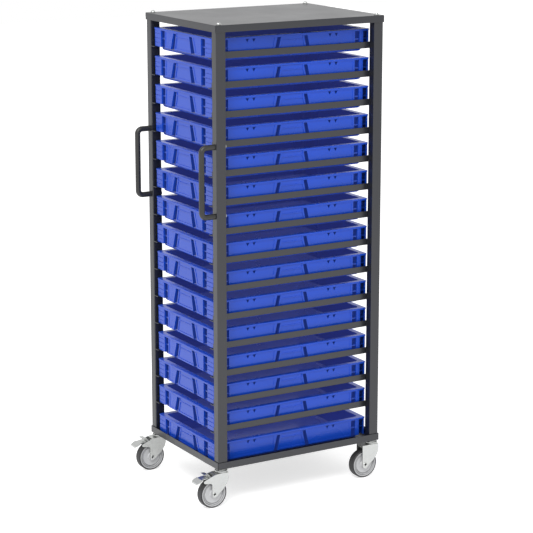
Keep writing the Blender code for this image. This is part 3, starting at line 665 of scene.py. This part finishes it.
def folded_pan(node, lip_up):
    """A folded sheet with a lip all round, slit at its corners."""
    rack = chosen("rack")
    low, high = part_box(node)
    centre = (low + high) / 2
    half_x, half_y, height = (high.x - low.x) / 2, (high.y - low.y) / 2, high.z - low.z
    sheet, fold, gap = rack.sheet, rack.fold, rack.seam / 2
    inner = max(fold - sheet, 0.0004)
    corner, tip, slit_reach, past = 0.0032, 0.0004, 0.006, 0.01
    rows = [(fold, 0)]
    rows += [(fold - fold * sin(turn), fold - fold * cos(turn)) for turn in map(radians, (22.5, 45, 67.5, 90))]
    rows += [(0, height - tip), (tip * 0.3, height - tip * 0.3), (tip, height), (sheet - tip, height)]
    rows += [(sheet - tip * 0.3, height - tip * 0.3), (sheet, height - tip), (sheet, sheet + inner)]
    rows += [(sheet + inner - inner * cos(turn), sheet + inner - inner * sin(turn)) for turn in map(radians, (45, 90))]
    rings = []
    for inset, up in rows:
        z = low.z + up if lip_up else high.z - up
        rings.append(rounded_loop(half_x - inset, half_y - inset, max(corner - inset, 0.0006), z, 4, centre.xy))
    start, end = (low.z + sheet * 0.6, high.z + past) if lip_up else (low.z - past, high.z - sheet * 0.6)
    slits = []
    for sx, sy in ((-1, -1), (-1, 1), (1, -1), (1, 1)):
        slit = prism(centred(gap, gap, -slit_reach, slit_reach), "Z", start, end)
        turn = Matrix.Rotation(radians(-45 * sx * sy), 4, "Z")
        slits.append(moved(slit, (centre.x + sx * half_x, centre.y + sy * half_y, 0), turn))
    return worked(skinned(rings, sharp=50), cut=merged(slits))


class CART_OT_sheets(Operator):
    """Folds the base tray and the top cover"""

    bl_idname = "cart.sheets"
    bl_label = "Tray and cover"

    def execute(self, context):
        for node, lip_up in (("base_tray", True), ("top_cover", False)):
            put(node, "folded", folded_pan(node, lip_up), "frame_paint", "frame")
        return {"FINISHED"}


# Side frames


def post_tube(centre, low_z, high_z):
    """Rectangular tube with round corners, open at both ends."""
    wall, corner = chosen("rack").tube_wall, chosen("rack").tube_corner
    edge = 0.0003
    rows = [(edge, low_z), (0, low_z + edge), (0, high_z - edge), (edge, high_z), (wall - edge, high_z)]
    rows += [(wall, high_z - edge), (wall, low_z + edge), (wall - edge, low_z)]
    rings = []
    for inset, z in rows:
        rings.append(rounded_loop(POST_HALF[0] - inset, POST_HALF[1] - inset, corner - inset * 0.8, z, 4, centre))
    return skinned(rings, closed=True)


def runner_bar(wall_y, sign_y, foot, low_x, high_x):
    """Steel angle with a round fold: its upright leg on the posts and its level leg under the bin."""
    rack = chosen("rack")
    sheet, width, height = rack.runner_sheet, rack.runner_width, rack.runner_height
    fold, inner, edge, sunk = 0.003, 0.001, 0.0005, 0.0002
    outline = arc((fold, fold), fold, 270, 180, 5)
    outline += [(0, height - edge), (edge, height), (sheet - edge, height), (sheet, height - edge)]
    outline += arc((sheet + inner, sheet + inner), inner, 180, 270, 3)
    outline += [(width - edge, sheet), (width, sheet - edge), (width, edge), (width - edge, 0)]
    points = [(wall_y - sign_y * (across - sunk), foot + up) for across, up in outline]
    return prism(points, "X", low_x, high_x)


def weld_bead(start_x, end_x, y, z):
    """A short run of weld: a wavy bead along X."""
    radius, sides, steps = 0.0016, 8, 14
    turns = [2 * pi * side / sides for side in range(sides)]
    rings = []
    for step in range(steps + 1):
        t = step / steps
        swell = radius * (0.35 + 0.65 * min(1, 6 * min(t, 1 - t))) * (1 + 0.1 * sin(step * 2.1))
        x = start_x + (end_x - start_x) * t
        rings.append([(x, y + swell * cos(turn), z + swell * sin(turn)) for turn in turns])
    return skinned(rings, sharp=80)


class CART_OT_side_frames(Operator):
    """Welds the posts and runners of each long side"""

    bl_idname = "cart.side_frames"
    bl_label = "Side frames"

    def execute(self, context):
        bead_half, bead_heights, sunk, end_gap = 0.0125, (-0.002, 0.02), 0.0002, 0.0004
        sheet = chosen("rack").runner_sheet
        for side, sign in SIDES:
            low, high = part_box(f"side_frame_{side}")
            outer_y = low.y if sign < 0 else high.y
            wall_y = outer_y - sign * 2 * POST_HALF[1]
            ends = (low.x + POST_HALF[0], high.x - POST_HALF[0])
            parts = [post_tube((x, outer_y - sign * POST_HALF[1]), low.z, high.z) for x in ends]
            for level in range(1, BIN_COUNT):
                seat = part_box(f"bin_{level:02d}")[0].z + RUNNER_SEAT
                parts.append(runner_bar(wall_y, sign, seat - sheet, low.x + end_gap, high.x - end_gap))
                for x in ends:
                    for rise in bead_heights:
                        parts.append(weld_bead(x - bead_half, x + bead_half, wall_y - sign * sunk, seat + rise))
            put(f"side_frame_{side}", "welded", merged(parts), "frame_paint", "frame")
        return {"FINISHED"}


# Bins


def spans(near, far):
    """The same span left and right of the middle."""
    return (-far, -near), (near, far)


def part_of(foot, top, low, high, start, end):
    """The part of a leaning outline between two heights."""
    edges = []
    for z in (start, end):
        t = (z - low) / (high - low)
        edges.append([at_foot + (at_top - at_foot) * t for at_foot, at_top in zip(foot, top)])
    return leaning(*edges, start, end)


def skirt_cutters(rows, half, axis):
    """Cutters on two opposite sides of the bin: rows of (outline, depth at its start, depth at its end)."""
    made = []
    for outline, near, deep in rows:
        for sign in (-1, 1):
            made.append(prism(outline, axis, *sorted((sign * (half - near), sign * (half - deep)))))
    return made


def moulded_bin():
    """The bin about its middle on z = 0: tub, rim, and a slotted hollow skirt."""
    bins = chosen("bins")
    low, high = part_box("bin_01")
    half = ((high.x - low.x) / 2, (high.y - low.y) / 2)
    height = high.z - low.z
    foot, over, inset = bins.foot, bins.overhang, bins.tub_inset
    wall, tub, under_rim = bins.wall, inset + bins.wall, height - bins.rim
    rows = [  # inset from the rim, height, corner radius in millimetres
        (inset + 0.018, 0.0012, 6), (inset + 0.0165, 0, 7), (inset + 0.0085, 0, 9), (inset + 0.0048, 0.0009, 11),
        (inset + 0.002, 0.003, 13), (inset + 0.0005, 0.006, 14), (inset, 0.009, 14), (inset, foot, 14),
        (over + 0.0005, foot, 6), (over, foot + 0.0005, 6), (over, under_rim, 6), (0.0003, under_rim, 7),
        (0, under_rim + 0.0003, 7), (0, height - 0.0009, 7), (0.0003, height - 0.0003, 7), (0.0009, height, 6.5),
        (tub - 0.0018, height, 13), (tub - 0.0005, height - 0.0004, 12), (tub, height - 0.0015, 12),
        (tub + 0.0008, wall + 0.007, 11), (tub + 0.0022, wall + 0.003, 10), (tub + 0.0048, wall + 0.0007, 8),
        (tub + 0.0075, wall, 7),
    ]
    body = skinned([rounded_loop(half[0] - away, half[1] - away, radius * MM, z) for away, z, radius in rows])

    # Depths behind the rim's edge
    out, shallow, hollow = -0.001, over + bins.panel, over + bins.skirt
    back, deep = inset - 0.0002, inset + 0.0002
    # Heights
    under, panel_foot, slot_top, cell_top = foot - 0.001, 0.019, under_rim - 0.0015, height - 0.0045
    lean_top, band_top, bar = 0.0665, 0.069, (0.0395, 0.044)

    def block(near, far, low_z, high_z, first, last):
        return [(leaning(span, span, low_z, high_z), first, last) for span in spans(near, far)]

    def slots(near, far, bar_depth):
        """A slot with a bar across it."""
        rows = block(near, far, under, slot_top, out, over + bar_depth)
        return rows + block(near, far, under, bar[0], out, deep) + block(near, far, bar[1], slot_top, out, deep)

    def lean(at_foot, at_top, first, last, low_z=under, high_z=lean_top, parts=None):
        rows = []
        for foot_span, top_span in zip(spans(*at_foot), spans(*at_top)):
            for part in parts or [(low_z, high_z)]:
                rows.append((part_of(foot_span, top_span, low_z, high_z, *part), first, last))
        return rows

    def middle_panel(at_foot, at_top, ledge, band, band_foot):
        """The panel in the middle, a ledge over it and a band over the ledge."""
        panel = (centred(at_foot, at_top, panel_foot, ledge), out, shallow + 0.0006)
        return [panel, (centred(band, band, band_foot, band_top), out, over + 0.0016)]

    def cells(at_foot, at_top, end_span, middle_foot, middle_top):
        """The hollows behind the skirt, with ribs between them."""
        rows = lean(at_foot, at_top, hollow, back, high_z=cell_top)
        rows += block(*end_span, under, cell_top, hollow, back)
        return rows + [(centred(middle_foot, middle_top, under, cell_top), hollow, back)]

    long_rows = slots(0.242, 0.26, 0.004) + slots(0.2745, 0.2925, 0.006)
    long_rows += lean((0.056, 0.07), (0.044, 0.057), out, deep)
    long_rows += lean((0.076, 0.235), (0.0675, 0.235), out, shallow, panel_foot)
    for at in (0.145, 0.1695):
        for start, end in spans(at - 0.0062, at + 0.0062):
            triangle = [(start, 0.0674), (end, 0.0674), ((start + end) / 2, 0.0558)]
            long_rows.append((triangle, out, hollow + 0.001))
    long_rows += middle_panel(0.05, 0.04, 0.053, 0.04, 0.056)
    long_rows += cells((0.073, 0.24), (0.061, 0.24), (0.262, 0.2725), 0.053, 0.0405)

    slot_foot, slot_head = (0.058, 0.083), (0.045, 0.064)
    short_rows = slots(0.1245, 0.1515, 0.005)
    short_rows += lean(slot_foot, slot_head, out, deep, parts=[(under, 0.0555), (0.0575, lean_top)])
    short_rows += lean(slot_foot, slot_head, out, over + 0.006)
    short_rows += lean((0.089, 0.119), (0.072, 0.119), out, shallow, panel_foot)
    for z, thick in ((0.026, 0.0014), (0.04, 0.003), (0.056, 0.0014)):
        short_rows += block(0.155, half[1] - 0.004, z, z + thick, out, over + 0.0016)
    short_rows += middle_panel(0.052, 0.041, 0.0545, 0.042, 0.057)
    short_rows += cells((0.085, 0.1225), (0.066, 0.1225), (0.154, 0.18), 0.056, 0.043)
    cutters = skirt_cutters(long_rows, half[1], "Y") + skirt_cutters(short_rows, half[0], "X")
    made = worked(body, cut=merged(cutters), soften=0.0005, angle=45)
    mark_cavities(made, half, over, tub, wall, height)
    return made


def mark_cavities(mesh, half, over, tub, floor, height):
    """Paints masks on the faces: the tub's inside, which gets a painted glow; painted shade by how deep a face lies in
    the skirt; and where the painted glow goes in the slots.
    """

    def depths(face):
        return half[0] - abs(face.center.x), half[1] - abs(face.center.y)

    # Painted glow on the tub's inside: full on its floor, less on its walls
    def inside(face):
        if min(depths(face)) < tub - 0.0012 or face.center.z < floor * 0.6:
            return 0
        return 1 if face.center.z < floor + 0.004 else 0.55

    # Painted shade by depth in the skirt; none in the tub or on the rim, and fading out towards the bin's underside
    def recess(face):
        if inside(face) or face.center.z > height - 0.0046:
            return 0
        under_skirt = min(1, max(0, (face.center.z - 0.006) / 0.003))
        return under_skirt * min(1, max(0, (min(depths(face)) - over - 0.0022) / 0.004))

    # Painted glow in the slots, as strong as the painted shade is deep, but none in the skirt's corners
    def lit(face):
        along, across = depths(face)
        return 0 if along < 0.0265 and across < 0.0175 else recess(face)

    for name, amount in (("inside", inside), ("recess", recess), ("lit", lit)):
        paint_faces(mesh, name, amount)


class CART_OT_bins(Operator):
    """Moulds the bins"""

    bl_idname = "cart.bins"
    bl_label = "Bins"

    def execute(self, context):
        mesh = evened(moulded_bin(), "bin_moulded")
        for number in range(1, BIN_COUNT + 1):
            node = f"bin_{number:02d}"
            low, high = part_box(node)
            put(node, "moulded", mesh, "bin_blue", node, ((low.x + high.x) / 2, (low.y + high.y) / 2, low.z))
        return {"FINISHED"}


# Handles and fasteners


class CART_OT_handles(Operator):
    """Bends the two handles"""

    bl_idname = "cart.handles"
    bl_label = "Handles"

    def execute(self, context):
        bend = chosen("rack").handle_bend
        thicker, straight, sides = 0.0013, 0.004, 28
        for side, _ in SIDES:
            low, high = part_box(f"handle_{side}")
            cad_radius, y = (high.y - low.y) / 2, (high.y + low.y) / 2
            bar_x, bottom, top = low.x + cad_radius, low.z + cad_radius, high.z - cad_radius
            path = [(high.x, bottom), (bar_x + bend + straight, bottom)]
            path += arc((bar_x + bend, bottom + bend), bend, 270, 180, 10)
            path += arc((bar_x + bend, top - bend), bend, 180, 90, 10)
            path += [(bar_x + bend + straight, top), (high.x, top)]
            mesh = swept([(x, y, z) for x, z in path], cad_radius + thicker, sides)
            put(f"handle_{side}", "bent", mesh, "handle_black", "frame")
        return {"FINISHED"}


def domed_screw():
    """A button-head screw with a hexagon socket on its washer, about the washer's underside."""
    profile = in_mm((0, 4.2), (2.4, 4.2), (2.4, 6.8), (2.8, 7.1), (3.6, 6.9), (4.9, 6.2), (6, 5.1), (6.7, 3.6))
    profile += in_mm((7, 2.2), (6.8, 1.6), (9.6, 1.6), (10, 1.2), (10, 0.3), (9.7, 0), (4, 0), (4, -16), (0, -16))

    def reach(row, angle):
        """Six flats on the two rows of the socket's wall."""
        if row not in (1, 2):
            return 1
        return cos(radians(30)) / cos((angle % radians(60)) - radians(30)) * 1.08

    return turned(profile, 36, reach=reach)


class CART_OT_fasteners(Operator):
    """Turns the cover screws and finishes bolts and plugs"""

    bl_idname = "cart.fasteners"
    bl_label = "Screws, bolts and plugs"

    def execute(self, context):
        seat_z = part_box("top_cover")[1].z + 0.0003
        for corner in CORNERS:
            node = f"cover_screw_{corner}"
            at = middle(node)
            put(node, "domed", domed_screw(), "bright_zinc", "frame", (at.x, at.y, seat_z))
        for mark, slot in (("handle_bolt", "bright_zinc"), ("_plug_", "plug_black")):
            for name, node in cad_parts.items():
                if mark in name:
                    node.data.materials.clear()
                    node.data.materials.append(finished(slot))
        return {"FINISHED"}


# Castors


def race(low_z, high_z, fork_under):
    """Stem, domed ball race, king pin and rivet, turned in one about Z."""
    tall, wide, stem, rivet = high_z - low_z, 0.022, 0.006, 0.0105
    profile = [(0, high_z + 0.024), (stem, high_z + 0.024), (stem, high_z)]
    shape = [(0.66, 1), (0.76, 0.99), (0.8, 0.9), (0.8, 0.8), (0.74, 0.76), (0.86, 0.7), (0.97, 0.6), (1, 0.48)]
    shape += [(1, 0.34), (0.97, 0.26), (0.9, 0.24), (0.9, 0.16), (0.95, 0.13), (0.95, 0.04), (0.9, 0)]
    profile += [(wide * across, low_z + tall * up) for across, up in shape]
    profile += [(stem, low_z), (stem, fork_under), (rivet, fork_under), (rivet + 0.0005, fork_under - 0.001)]
    profile += [(rivet, fork_under - 0.003), (0.008, fork_under - 0.004), (0, fork_under - 0.004)]
    return turned(profile, 48)


def fork_outline(braked, top):
    """The cheek seen from the side, from its round end up its rear edge and round to its front."""
    radius, stretch, rear = 0.009 if braked else 0.012, 1.32, 0.0185
    end = arc((-TRAIL, AXLE_HEIGHT), radius, 180, 300, 14)
    points = [(x, AXLE_HEIGHT + (z - AXLE_HEIGHT) * stretch) for x, z in end]
    points += in_mm((-23.5, 42.5), (-14, 52), (-3.5, 60), (3, 67), (8.2, 74), (13, 81.5), (16.2, 88))
    points += [(rear - 0.0004, 0.095), (rear, 0.101), (rear, top)]
    if not braked:
        return points + [(-0.047, top), (-0.047, 0.056)]
    nose = in_mm(
        (-21.5, 0), (-28, 0.7), (-35, 2.6), (-43, 5.2), (-51, 8.2), (-59, 11.3), (-66, 14), (-71.5, 16.3),
        (-74.5, 18.2), (-75.5, 20.3), (-75, 22.6), (-73.2, 25), (-70, 26.8), (-65.5, 27.6), (-60, 28),
        (-53, 28.8), (-47.5, 30), (-44.7, 32.2), (-44, 35),
    )
    return points + [(x, top - drop) for x, drop in nose] + [(-0.044, 0.056)]


def pressed_fork(braked, width, top, sheet, fold):
    """The fork about the swivel axis: folded sheet with two cheeks, a flat top and round edges."""
    bm = bmesh.new()
    outline = fork_outline(braked, top)
    skin(bm, [[(x, y, z) for x, z in outline] for y in (-width / 2, width / 2)])
    bmesh.ops.recalc_face_normals(bm, faces=bm.faces)

    def round_off(picked, offset, segments):
        edges = [edge for edge in bm.edges if picked(edge, *(vertex.co for vertex in edge.verts))]
        bmesh.ops.bevel(
            bm, geom=edges, offset=offset, segments=segments, profile=0.5, affect="EDGES", clamp_overlap=True
        )

    def is_fold(edge, first, second):
        return min(first.z, second.z) > top - 0.0008 and abs(first.y - second.y) < 1e-5 and first.x < 0.018

    def is_rear(edge, first, second):
        outer = min(abs(first.y), abs(second.y)) > width / 2 - 1e-5
        behind = min(first.x, second.x) > -0.026 and max(first.z, second.z) < top - fold - 0.0001
        return outer and behind and len(edge.link_faces) == 2 and edge.calc_face_angle(0) > 1

    round_off(is_fold, fold, 5)
    round_off(is_rear, 0.0021, 3)
    inner, bend = width / 2 - sheet, fold - sheet
    section = [(-inner, 0), (inner, 0)]
    section += arc((inner - bend, top - sheet - bend), bend, 0, 90, 4)
    section += arc((-inner + bend, top - sheet - bend), bend, 90, 180, 4)
    channel = prism(section, "X", -0.09, 0.03)
    bore_radius = 0.0044
    bore = turned([(0, -width), (bore_radius, -width), (bore_radius, width), (0, width)], 32)
    bore = moved(bore, (-TRAIL, 0, AXLE_HEIGHT), ROUND_TO_Y)
    fork = worked(closed_mesh(bm), cut=merged([channel, bore]), soften=0.0004, angle=35)
    # Painted shade: dark on the cheeks' cut edges and in the axle bore
    paint_faces(fork, "cut", lambda face: float(abs(face.normal.y) < 0.8 and face.center.z < top - fold))
    return fork


def pressed_pedal(width):
    """Tread, neck, barrel, shoe and release tab of the brake, about the pedal's pin."""
    lever = arc((0, 0), 0.0045, 235, 510, 16)
    lever += in_mm((-10, 2.2), (-20, 1.8), (-36.3, 0.6), (-36.3, -1.7), (-20, -1), (-13.2, -0.7))
    lever += in_mm((-9.5, -8), (-8.8, -8.6), (-5, -7.8))
    tab = in_mm((0.6, 4.1), (-6, 11.8), (-8.5, 13.9), (-12.1, 14.7), (-24.2, 15), (-24.9, 14))
    tab += in_mm((-24.2, 12.8), (-12.7, 12.4), (-9.8, 11.7), (-7.7, 10.2), (-1.9, 3))
    plate = in_mm((-34, -21), (-43, -23), (-52, -20.5), (-54.8, -15), (-55, 0))
    plate += [(x, -y) for x, y in reversed(plate[:-1])]
    lip = in_mm((-55, 0.8), (-55, -4), (-52.8, -4), (-52, 0.4))
    parts = [
        prism(lever, "Y", -width / 2, width / 2),
        prism(tab, "Y", -0.013, 0.013),
        prism(plate, "Z", -0.0016, 0.0008),
        prism(lip, "Y", -0.0165, 0.0165),
    ]
    pedal = worked(merged(parts), soften=0.0005, angle=35)
    neck_start, neck, rise, fall, crown = -0.014, 0.016, 0.14, 0.52, 3
    for vertex in pedal.vertices:
        if vertex.co.z < 0.0028 and vertex.co.x < neck_start:
            reach = neck_start - vertex.co.x
            vertex.co.z += rise * min(reach, neck) - fall * max(0, reach - neck) - crown * vertex.co.y**2
    return pedal


def about_y(half, sides, closed=False):
    """A profile from the middle outwards, mirrored, turned and laid along Y."""
    return moved(turned(half + [(r, -z) for r, z in reversed(half)], sides, closed), turn=ROUND_TO_Y)


def wheel_body(half, sides):
    """Boss, dished web with two ring grooves and the band that carries the tyre."""
    shape = in_mm((4.3, 0), (11, 0), (12.5, 0.6), (13.5, 3), (16.5, 5), (31.8, 4.4), (32.6, 5), (33, 7.8), (35, 7.8))
    shape += in_mm((35.5, 3.2), (37.4, 2.6), (37.9, 6.4), (39.9, 6.4), (40.4, 2.2), (41.6, 2), (43.6, 2), (44, 2.4))
    top = [(radius, half - drop) for radius, drop in shape]
    wheel = about_y(top, sides, closed=True)

    def in_groove(face):
        return float(0.0328 < face.center.xz.length < 0.0401 and abs(face.center.y) < half - 0.0062)

    # Painted shade on the faces in the two ring grooves
    paint_faces(wheel, "cut", in_groove)
    return wheel


def tyre(inner, radius, half, sides):
    edge = half - 0.0016
    bend = chosen("castors").tread_round
    top = [(inner, edge - 0.0004), (inner + 0.0006, edge), (radius - bend, edge)]
    top += arc((radius - bend, edge - bend), bend, 78, 0, 6)
    return about_y(top + [(radius, half - 0.011)], sides, closed=True)


def riveted_axle(outer):
    """A hollow-ended axle with a riveted head at each end."""
    shape = in_mm((0, 12), (3.8, 12), (4, 0.6), (4.5, 0), (5.4, 0.3), (6.3, 1.2), (6.5, 1.9), (4, 1.9))
    half = [(radius, outer - drop) for radius, drop in shape]
    axle = about_y(half, 32)
    # Painted shade in the axle's hollow ends
    paint_faces(axle, "cut", lambda face: float(face.center.xz.length < 0.0041 and abs(face.center.y) > 0.004))
    return axle


class CART_OT_castors(Operator):
    """Presses and turns the four castors, two of them with a brake"""

    bl_idname = "cart.castors"
    bl_label = "Castors"

    def execute(self, context):
        castors = chosen("castors")
        sheet, sides = castors.cheek, castors.sides
        race_top, gap = 0.1297, 0.0006
        tyre_inner, tyre_outer, wheel_half = 0.0442, 0.0492, 0.0155
        for corner in CORNERS:
            head, fork, axle = f"castor_head_{corner}", f"castor_fork_{corner}", f"castor_axle_{corner}"
            castor, wheel, pedal = f"castor_{corner}", f"wheel_{corner}", f"brake_pedal_{corner}"
            swivel = middle(head)
            foot = (swivel.x, swivel.y, 0)
            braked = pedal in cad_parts
            fork_low, fork_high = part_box(fork)
            width, top = fork_high.y - fork_low.y, fork_high.z
            axle_low, axle_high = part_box(axle)
            put(head, "turned", race(top + gap, race_top, top - sheet - gap), "bright_zinc", "frame", foot)
            put(fork, "pressed", pressed_fork(braked, width, top, sheet, castors.fold), "bright_zinc", castor, foot)
            put(axle, "riveted", riveted_axle((axle_high.y - axle_low.y) / 2), "bright_zinc", castor, middle(axle))
            at = (swivel.x - TRAIL, swivel.y, AXLE_HEIGHT)
            disc = wheel_body(wheel_half, sides)
            put(f"wheel_hub_{corner}", "moulded", disc, "wheel_grey", wheel, at)
            rubber = tyre(tyre_inner, tyre_outer, wheel_half, sides)
            put(f"wheel_tyre_{corner}", "rubber", rubber, "tyre_grey", wheel, at)
            if braked:
                pin = (swivel.x - PEDAL_PIN[0], swivel.y, PEDAL_PIN[1])
                lever = pressed_pedal(width - 2 * (sheet + gap))
                put(pedal, "pressed", lever, "bright_zinc", pedal, pin)
        return {"FINISHED"}


# Stage


class CART_OT_stage(Operator):
    """Sets the floor, the white surroundings, the lamp and the camera"""

    bl_idname = "cart.stage"
    bl_label = "Studio"

    def execute(self, context):
        stage = chosen("stage")
        scene = context.scene
        scene.view_settings.view_transform = "Standard"

        side, thick, corner = 14, 0.02, 1
        floor = loose_object(skinned([rounded_loop(side, side, corner, z, 4) for z in (-thick, 0)]), "studio_floor")
        paint = Finish("pale floor")
        tone = paint.varied(paint.noise(paint.place, 0.8, 3, 0.5), stage.floor, 0.98, 1.02)
        paint.feed(base_color=tone, roughness=0.9, specular_ior_level=0)
        paint.feed(emission_color=paint.mix(paint.seen(), BLACK, WHITE), emission_strength=0.6)
        floor.data.materials.append(paint.material)

        world = bpy.data.worlds.new("white surroundings")
        world.use_nodes = True
        wires = Wiring(world.node_tree)
        background = world.node_tree.nodes["Background"]
        wires.give(background.inputs["Strength"], wires.ranged(wires.seen(), 0, 1, stage.ambient, 1))
        wires.give(background.inputs["Color"], WHITE)
        scene.world = world

        lamp = bpy.data.lights.new("key softbox", "AREA")
        lamp.shape, lamp.size, lamp.energy = "DISK", 2.6, stage.key
        key = bpy.data.objects.new("key softbox", lamp)
        key.location = (-2.6, -2.6, 4.6)
        aim = Vector((0, 0, 0.8)) - key.location
        key.rotation_euler = aim.to_track_quat("-Z", "Y").to_euler()
        scene.collection.objects.link(key)

        eye = bpy.data.cameras.new("camera")
        eye.lens, eye.clip_end = stage.lens, 100
        camera = bpy.data.objects.new("camera", eye)
        camera.location = stage.eye
        level = cos(stage.tilt)
        looking = Vector((sin(stage.heading) * level, cos(stage.heading) * level, -sin(stage.tilt)))
        camera.rotation_euler = looking.to_track_quat("-Z", "Y").to_euler()
        scene.collection.objects.link(camera)
        scene.camera = camera
        return {"FINISHED"}


# Panel and registration


OPERATORS = (
    CART_OT_stage, CART_OT_sheets, CART_OT_side_frames, CART_OT_bins, CART_OT_handles, CART_OT_fasteners,
    CART_OT_castors,
)

GROUPS = {
    "cart_finishes": CartFinishes, "cart_rack": CartRack, "cart_bins": CartBins, "cart_castors": CartCastors,
    "cart_stage": CartStage,
}


class CART_PT_build(Panel):
    """Lists the steps that build the cart's looks"""

    bl_label = "Bin cart"
    bl_idname = "CART_PT_build"
    bl_space_type = "VIEW_3D"
    bl_region_type = "UI"
    bl_category = "Bin cart"

    def draw(self, context):
        for operator in OPERATORS:
            self.layout.operator(operator.bl_idname)
        for name, group in GROUPS.items():
            box = self.layout.box()
            box.label(text=name.replace("_", " ").capitalize())
            for key in group.__annotations__:
                box.prop(getattr(context.scene, name), key)


def register():
    for kind in (*GROUPS.values(), *OPERATORS, CART_PT_build):
        bpy.utils.register_class(kind)
    for name, group in GROUPS.items():
        setattr(bpy.types.Scene, name, PointerProperty(type=group))


def unregister():
    for name in GROUPS:
        delattr(bpy.types.Scene, name)
    for kind in (CART_PT_build, *reversed(OPERATORS), *reversed(GROUPS.values())):
        bpy.utils.unregister_class(kind)


def main():
    register()
    for operator in OPERATORS:
        getattr(bpy.ops.cart, operator.bl_idname.split(".")[1])()


if __name__ == "__main__":
    main()
